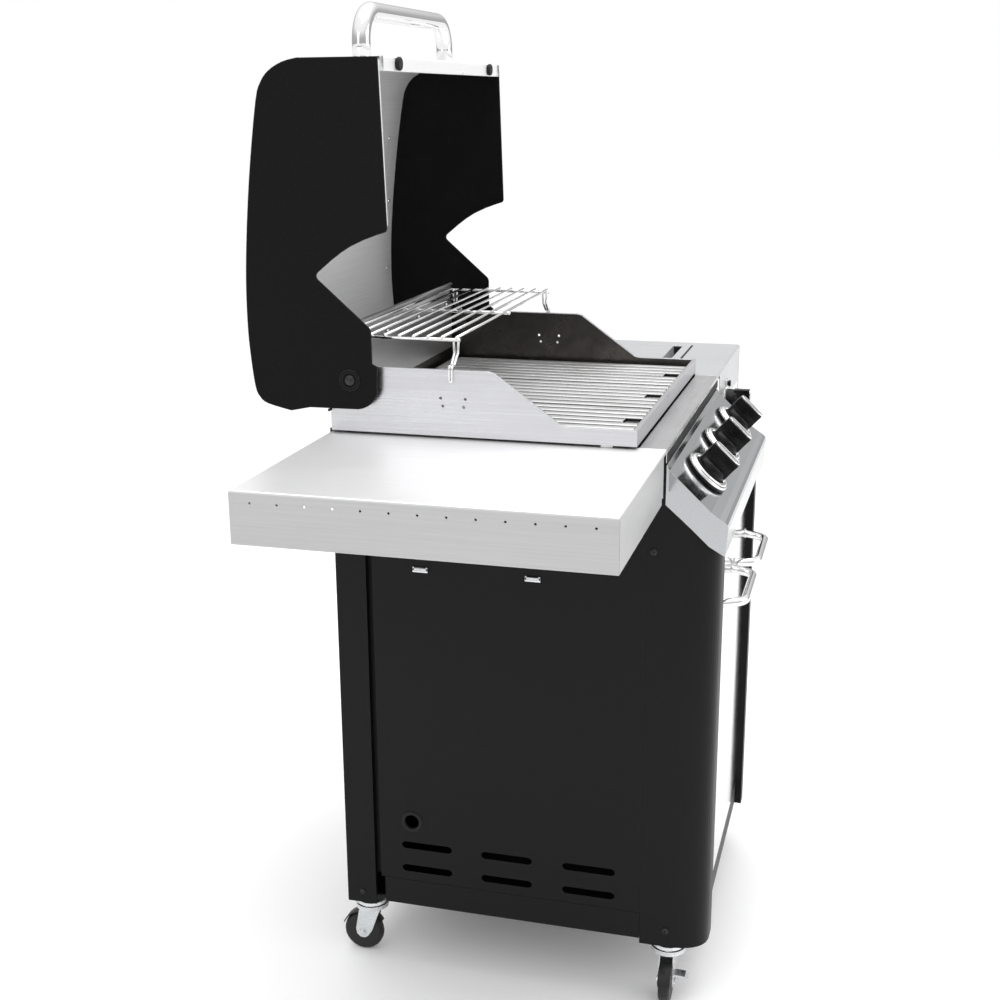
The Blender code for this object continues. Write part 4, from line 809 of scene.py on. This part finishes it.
# ---- side burner ----
# Painted shade: a black sheet at the far end of the burner bay and a black strip in the slit along the shelf stand
# for the shade inside these openings.
bay = block((0.6022, 0.6038), (-0.1398 + BACK, -0.1222 + BACK), (0.8900, 0.9172), 0.0002)
slit = block((0.3332, 0.6208), (-0.1604 + BACK, -0.1556 + BACK), (0.9100, 0.9166), 0.0002)
piece("shelf_gap_shade_sheets", joined(bay, slit), RUBBER, "cart", 0)
centre = at(SIDE_BURNER[0], 0.0, SIDE_BURNER[1])
# Painted shade: each port is a black ring standing for the dark inside of the hole.
ports = []
for k in range(28):
    turn = 2 * math.pi * k / 28
    away = Vector((math.cos(turn), math.sin(turn), 0))
    ports.append(ring([(0.0008, 0.0001), (0.0016, 0.0), (0.0016, 0.0003)], 8, set_at(centre + away * 0.0360, away)))
piece("side_burner_ports", joined(*ports), SCREW_BLACK, "cart", 0)
crown = lathe([(0, 0.9062), (0.0160, 0.9058), (0.0285, 0.9046), (0.0318, 0.9034), (0.0322, 0.9020),
               (0.0300, 0.9018), (0, 0.9018)], 48, Matrix.Translation((centre.x, centre.y, 0.0)))
piece("side_burner_cap", crown, BURNER_STEEL, "cart")

# ---- doors ----
for side, word in SIDES:
    leaf = "door_" + word + "_leaf"
    low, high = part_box("door_handle_" + word)
    back = high.y
    bar = low.y + DOOR_HANDLE_RADIUS
    z = (low.z + high.z) / 2
    places = zip((DOOR_HANDLE_FEET[0], *DOOR_HANDLE_CORNERS, DOOR_HANDLE_FEET[1]), (back, bar, bar, back))
    corners = [(side * x, y, z) for x, y in places]
    handle = sweep(rounded_path(corners, 0.027, 14), DOOR_HANDLE_RADIUS, 28)
    piece("door_handle_bar_" + word, handle, CHROME, leaf, 60, ("door_handle_" + word,))
    feet = [ring([(0.0066, 0.0), (0.0090, 0.0), (0.0090, 0.0006), (0.0074, 0.0016)], 28,
                 set_at(Vector((side * x, back, z)), (0, -1, 0))) for x in DOOR_HANDLE_FEET]
    piece("door_handle_feet_" + word, joined(*feet), CHROME, leaf)
    low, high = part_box("door_" + word)
    bumpers = [lathe([(0, 0.0024), (0.0030, 0.0024), (0.0046, 0.0012), (0.0048, 0.0), (0, 0.0)], 24,
                     set_at(Vector((side * DOOR_BUMPER, low.y + 0.0012, z)), (0, 1, 0)))
               for z in (low.z + DOOR_BUMPER, high.z - DOOR_BUMPER)]
    piece("door_bumpers_" + word, joined(*bumpers), RUBBER, leaf)

# ---- casters ----
for word, (x, y, turn) in CASTERS.items():
    base = Matrix.Translation(at(x, y, CASTER_TOP)) @ Matrix.Rotation(turn, 4, "Z")
    body = "caster_" + word
    axle = (CASTER_TRAIL, WHEEL_RADIUS - CASTER_TOP)
    race = ring([(0.0262, -0.0052), (0.0288, -0.0062), (0.0291, -0.0078), (0.0286, -0.0094), (0.0262, -0.0090)], 48,
                base)
    piece("swivel_race_" + word, race, ZINC, body)
    nuts = []
    guards = []
    cheek = arc(axle, 0.0312, 10, 150, 14) + arc(axle, 0.0180, 150, 10, 8)
    for side in (LEFT, RIGHT):
        out = base.to_3x3() @ Vector((side, 0, 0))
        end = base @ Vector((side * (FORK_HALF_WIDTH + 0.0018), *axle))
        nuts.append(hex_bolt(0.0060, 0.0036, end, out))
        nuts.append(washer(0.0030, 0.0072, 0.0008, end, out))
        guards.append(slab(cheek, *sorted((side * 0.0092, side * 0.0098)), base @ ACROSS))
    piece("axle_nuts_" + word, joined(*nuts), ZINC, body, 30)
    hood = [(u, min(v, -0.0152)) for u, v in arc(axle, 0.0375, 20, 150, 16) + arc(axle, 0.0358, 150, 20, 16)]
    guards.append(slab(hood, -0.0098, 0.0098, base @ ACROSS, 0.0002))
    piece("dust_guard_" + word, joined(*guards), WHEEL_PLASTIC, body, 30)

# ---- floor, light and camera ----
FLOOR_HALF_WIDTH = 40.0
SKY_BRIGHTNESS = ((0.0, 0.42), (0.18, 0.50), (0.50, 1.00), (1.0, 1.15))  # from straight down to straight up
MIDDLE = (0, 0, 0.8)
LIGHTS = (("top_light", (0.3, -0.2, 3.6), MIDDLE, (3.2, 3.2), 62),
          ("front_light", (0.6, -3.4, 1.9), MIDDLE, (2.6, 1.8), 22),
          ("left_light", (-3.4, 1.2, 2.2), (0, 0, 0.9), (1.6, 2.0), 8))
CAMERA_PLACE = (-2.2792, -0.5633, 1.4059)
CAMERA_SENSOR = 36.0
CAMERA_LENS = 51.224
CAMERA_TURN = math.radians(15.565)
CAMERA_TILT = math.radians(15.696)
CAMERA_ROLL = math.radians(-0.3587)

tool = bmesh.new()
bmesh.ops.create_grid(tool, x_segments=1, y_segments=1, size=FLOOR_HALF_WIDTH)
mesh = bpy.data.meshes.new("floor")
tool.to_mesh(mesh)
tool.free()
floor = bpy.data.objects.new("floor", mesh)
bpy.context.scene.collection.objects.link(floor)
floor_paint, g = new_material("pale_floor")
g.set(Base_Color=(0.97, 0.97, 0.97), Roughness=g.spread(g.noise(40.0), 0.55, 0.65), Specular_IOR_Level=0.3,
      Emission_Color=(1.0, 1.0, 1.0), Emission_Strength=0.07)
mesh.materials.append(floor_paint)

# The surfaces are lit by a sky that is darker below, and behind the grill the sky is plain white.
world = bpy.data.worlds.new("studio")
world.use_nodes = True
bpy.context.scene.world = world
tree = world.node_tree
sky = tree.nodes["Background"]
sky.inputs["Strength"].default_value = 1.0
way = tree.nodes.new("ShaderNodeTexCoord")
parts = tree.nodes.new("ShaderNodeSeparateXYZ")
ramp = tree.nodes.new("ShaderNodeValToRGB")
while len(ramp.color_ramp.elements) < len(SKY_BRIGHTNESS):
    ramp.color_ramp.elements.new(0.5)
for element, (position, level) in zip(ramp.color_ramp.elements, SKY_BRIGHTNESS):
    element.position = position
    element.color = (level, level, level, 1.0)
backdrop = tree.nodes.new("ShaderNodeBackground")
backdrop.inputs["Color"].default_value = (1.0, 1.0, 1.0, 1.0)
backdrop.inputs["Strength"].default_value = 1.0
ray = tree.nodes.new("ShaderNodeLightPath")
mix = tree.nodes.new("ShaderNodeMixShader")
for source, target in ((way.outputs["Generated"], parts.inputs["Vector"]),
                       (parts.outputs["Z"], ramp.inputs["Fac"]),
                       (ramp.outputs["Color"], sky.inputs["Color"]),
                       (ray.outputs["Is Camera Ray"], mix.inputs["Fac"]),
                       (sky.outputs["Background"], mix.inputs[1]),
                       (backdrop.outputs["Background"], mix.inputs[2]),
                       (mix.outputs["Shader"], tree.nodes["World Output"].inputs["Surface"])):
    tree.links.new(source, target)

for name, place, target, size, power in LIGHTS:
    data = bpy.data.lights.new(name, "AREA")
    data.shape = "RECTANGLE"
    data.size, data.size_y = size
    data.energy = power
    lamp = bpy.data.objects.new(name, data)
    lamp.location = place
    lamp.rotation_euler = (Vector(target) - Vector(place)).to_track_quat("-Z", "Y").to_euler()
    bpy.context.scene.collection.objects.link(lamp)

camera_data = bpy.data.cameras.new("camera")
camera_data.sensor_width = CAMERA_SENSOR
camera_data.sensor_fit = "HORIZONTAL"
camera_data.lens = CAMERA_LENS
camera_data.dof.use_dof = False
camera = bpy.data.objects.new("camera", camera_data)
ahead = Vector((math.cos(CAMERA_TILT) * math.cos(CAMERA_TURN), math.cos(CAMERA_TILT) * math.sin(CAMERA_TURN),
                -math.sin(CAMERA_TILT)))
right = Vector((math.sin(CAMERA_TURN), -math.cos(CAMERA_TURN), 0))
above = right.cross(ahead)
right_rolled = right * math.cos(CAMERA_ROLL) + above * math.sin(CAMERA_ROLL)
above_rolled = above * math.cos(CAMERA_ROLL) - right * math.sin(CAMERA_ROLL)
camera.matrix_world = Matrix.Translation(CAMERA_PLACE) @ Matrix(
    (right_rolled, above_rolled, -ahead)).transposed().to_4x4()
bpy.context.scene.collection.objects.link(camera)
bpy.context.scene.camera = camera
bpy.context.scene.view_settings.view_transform = "Standard"
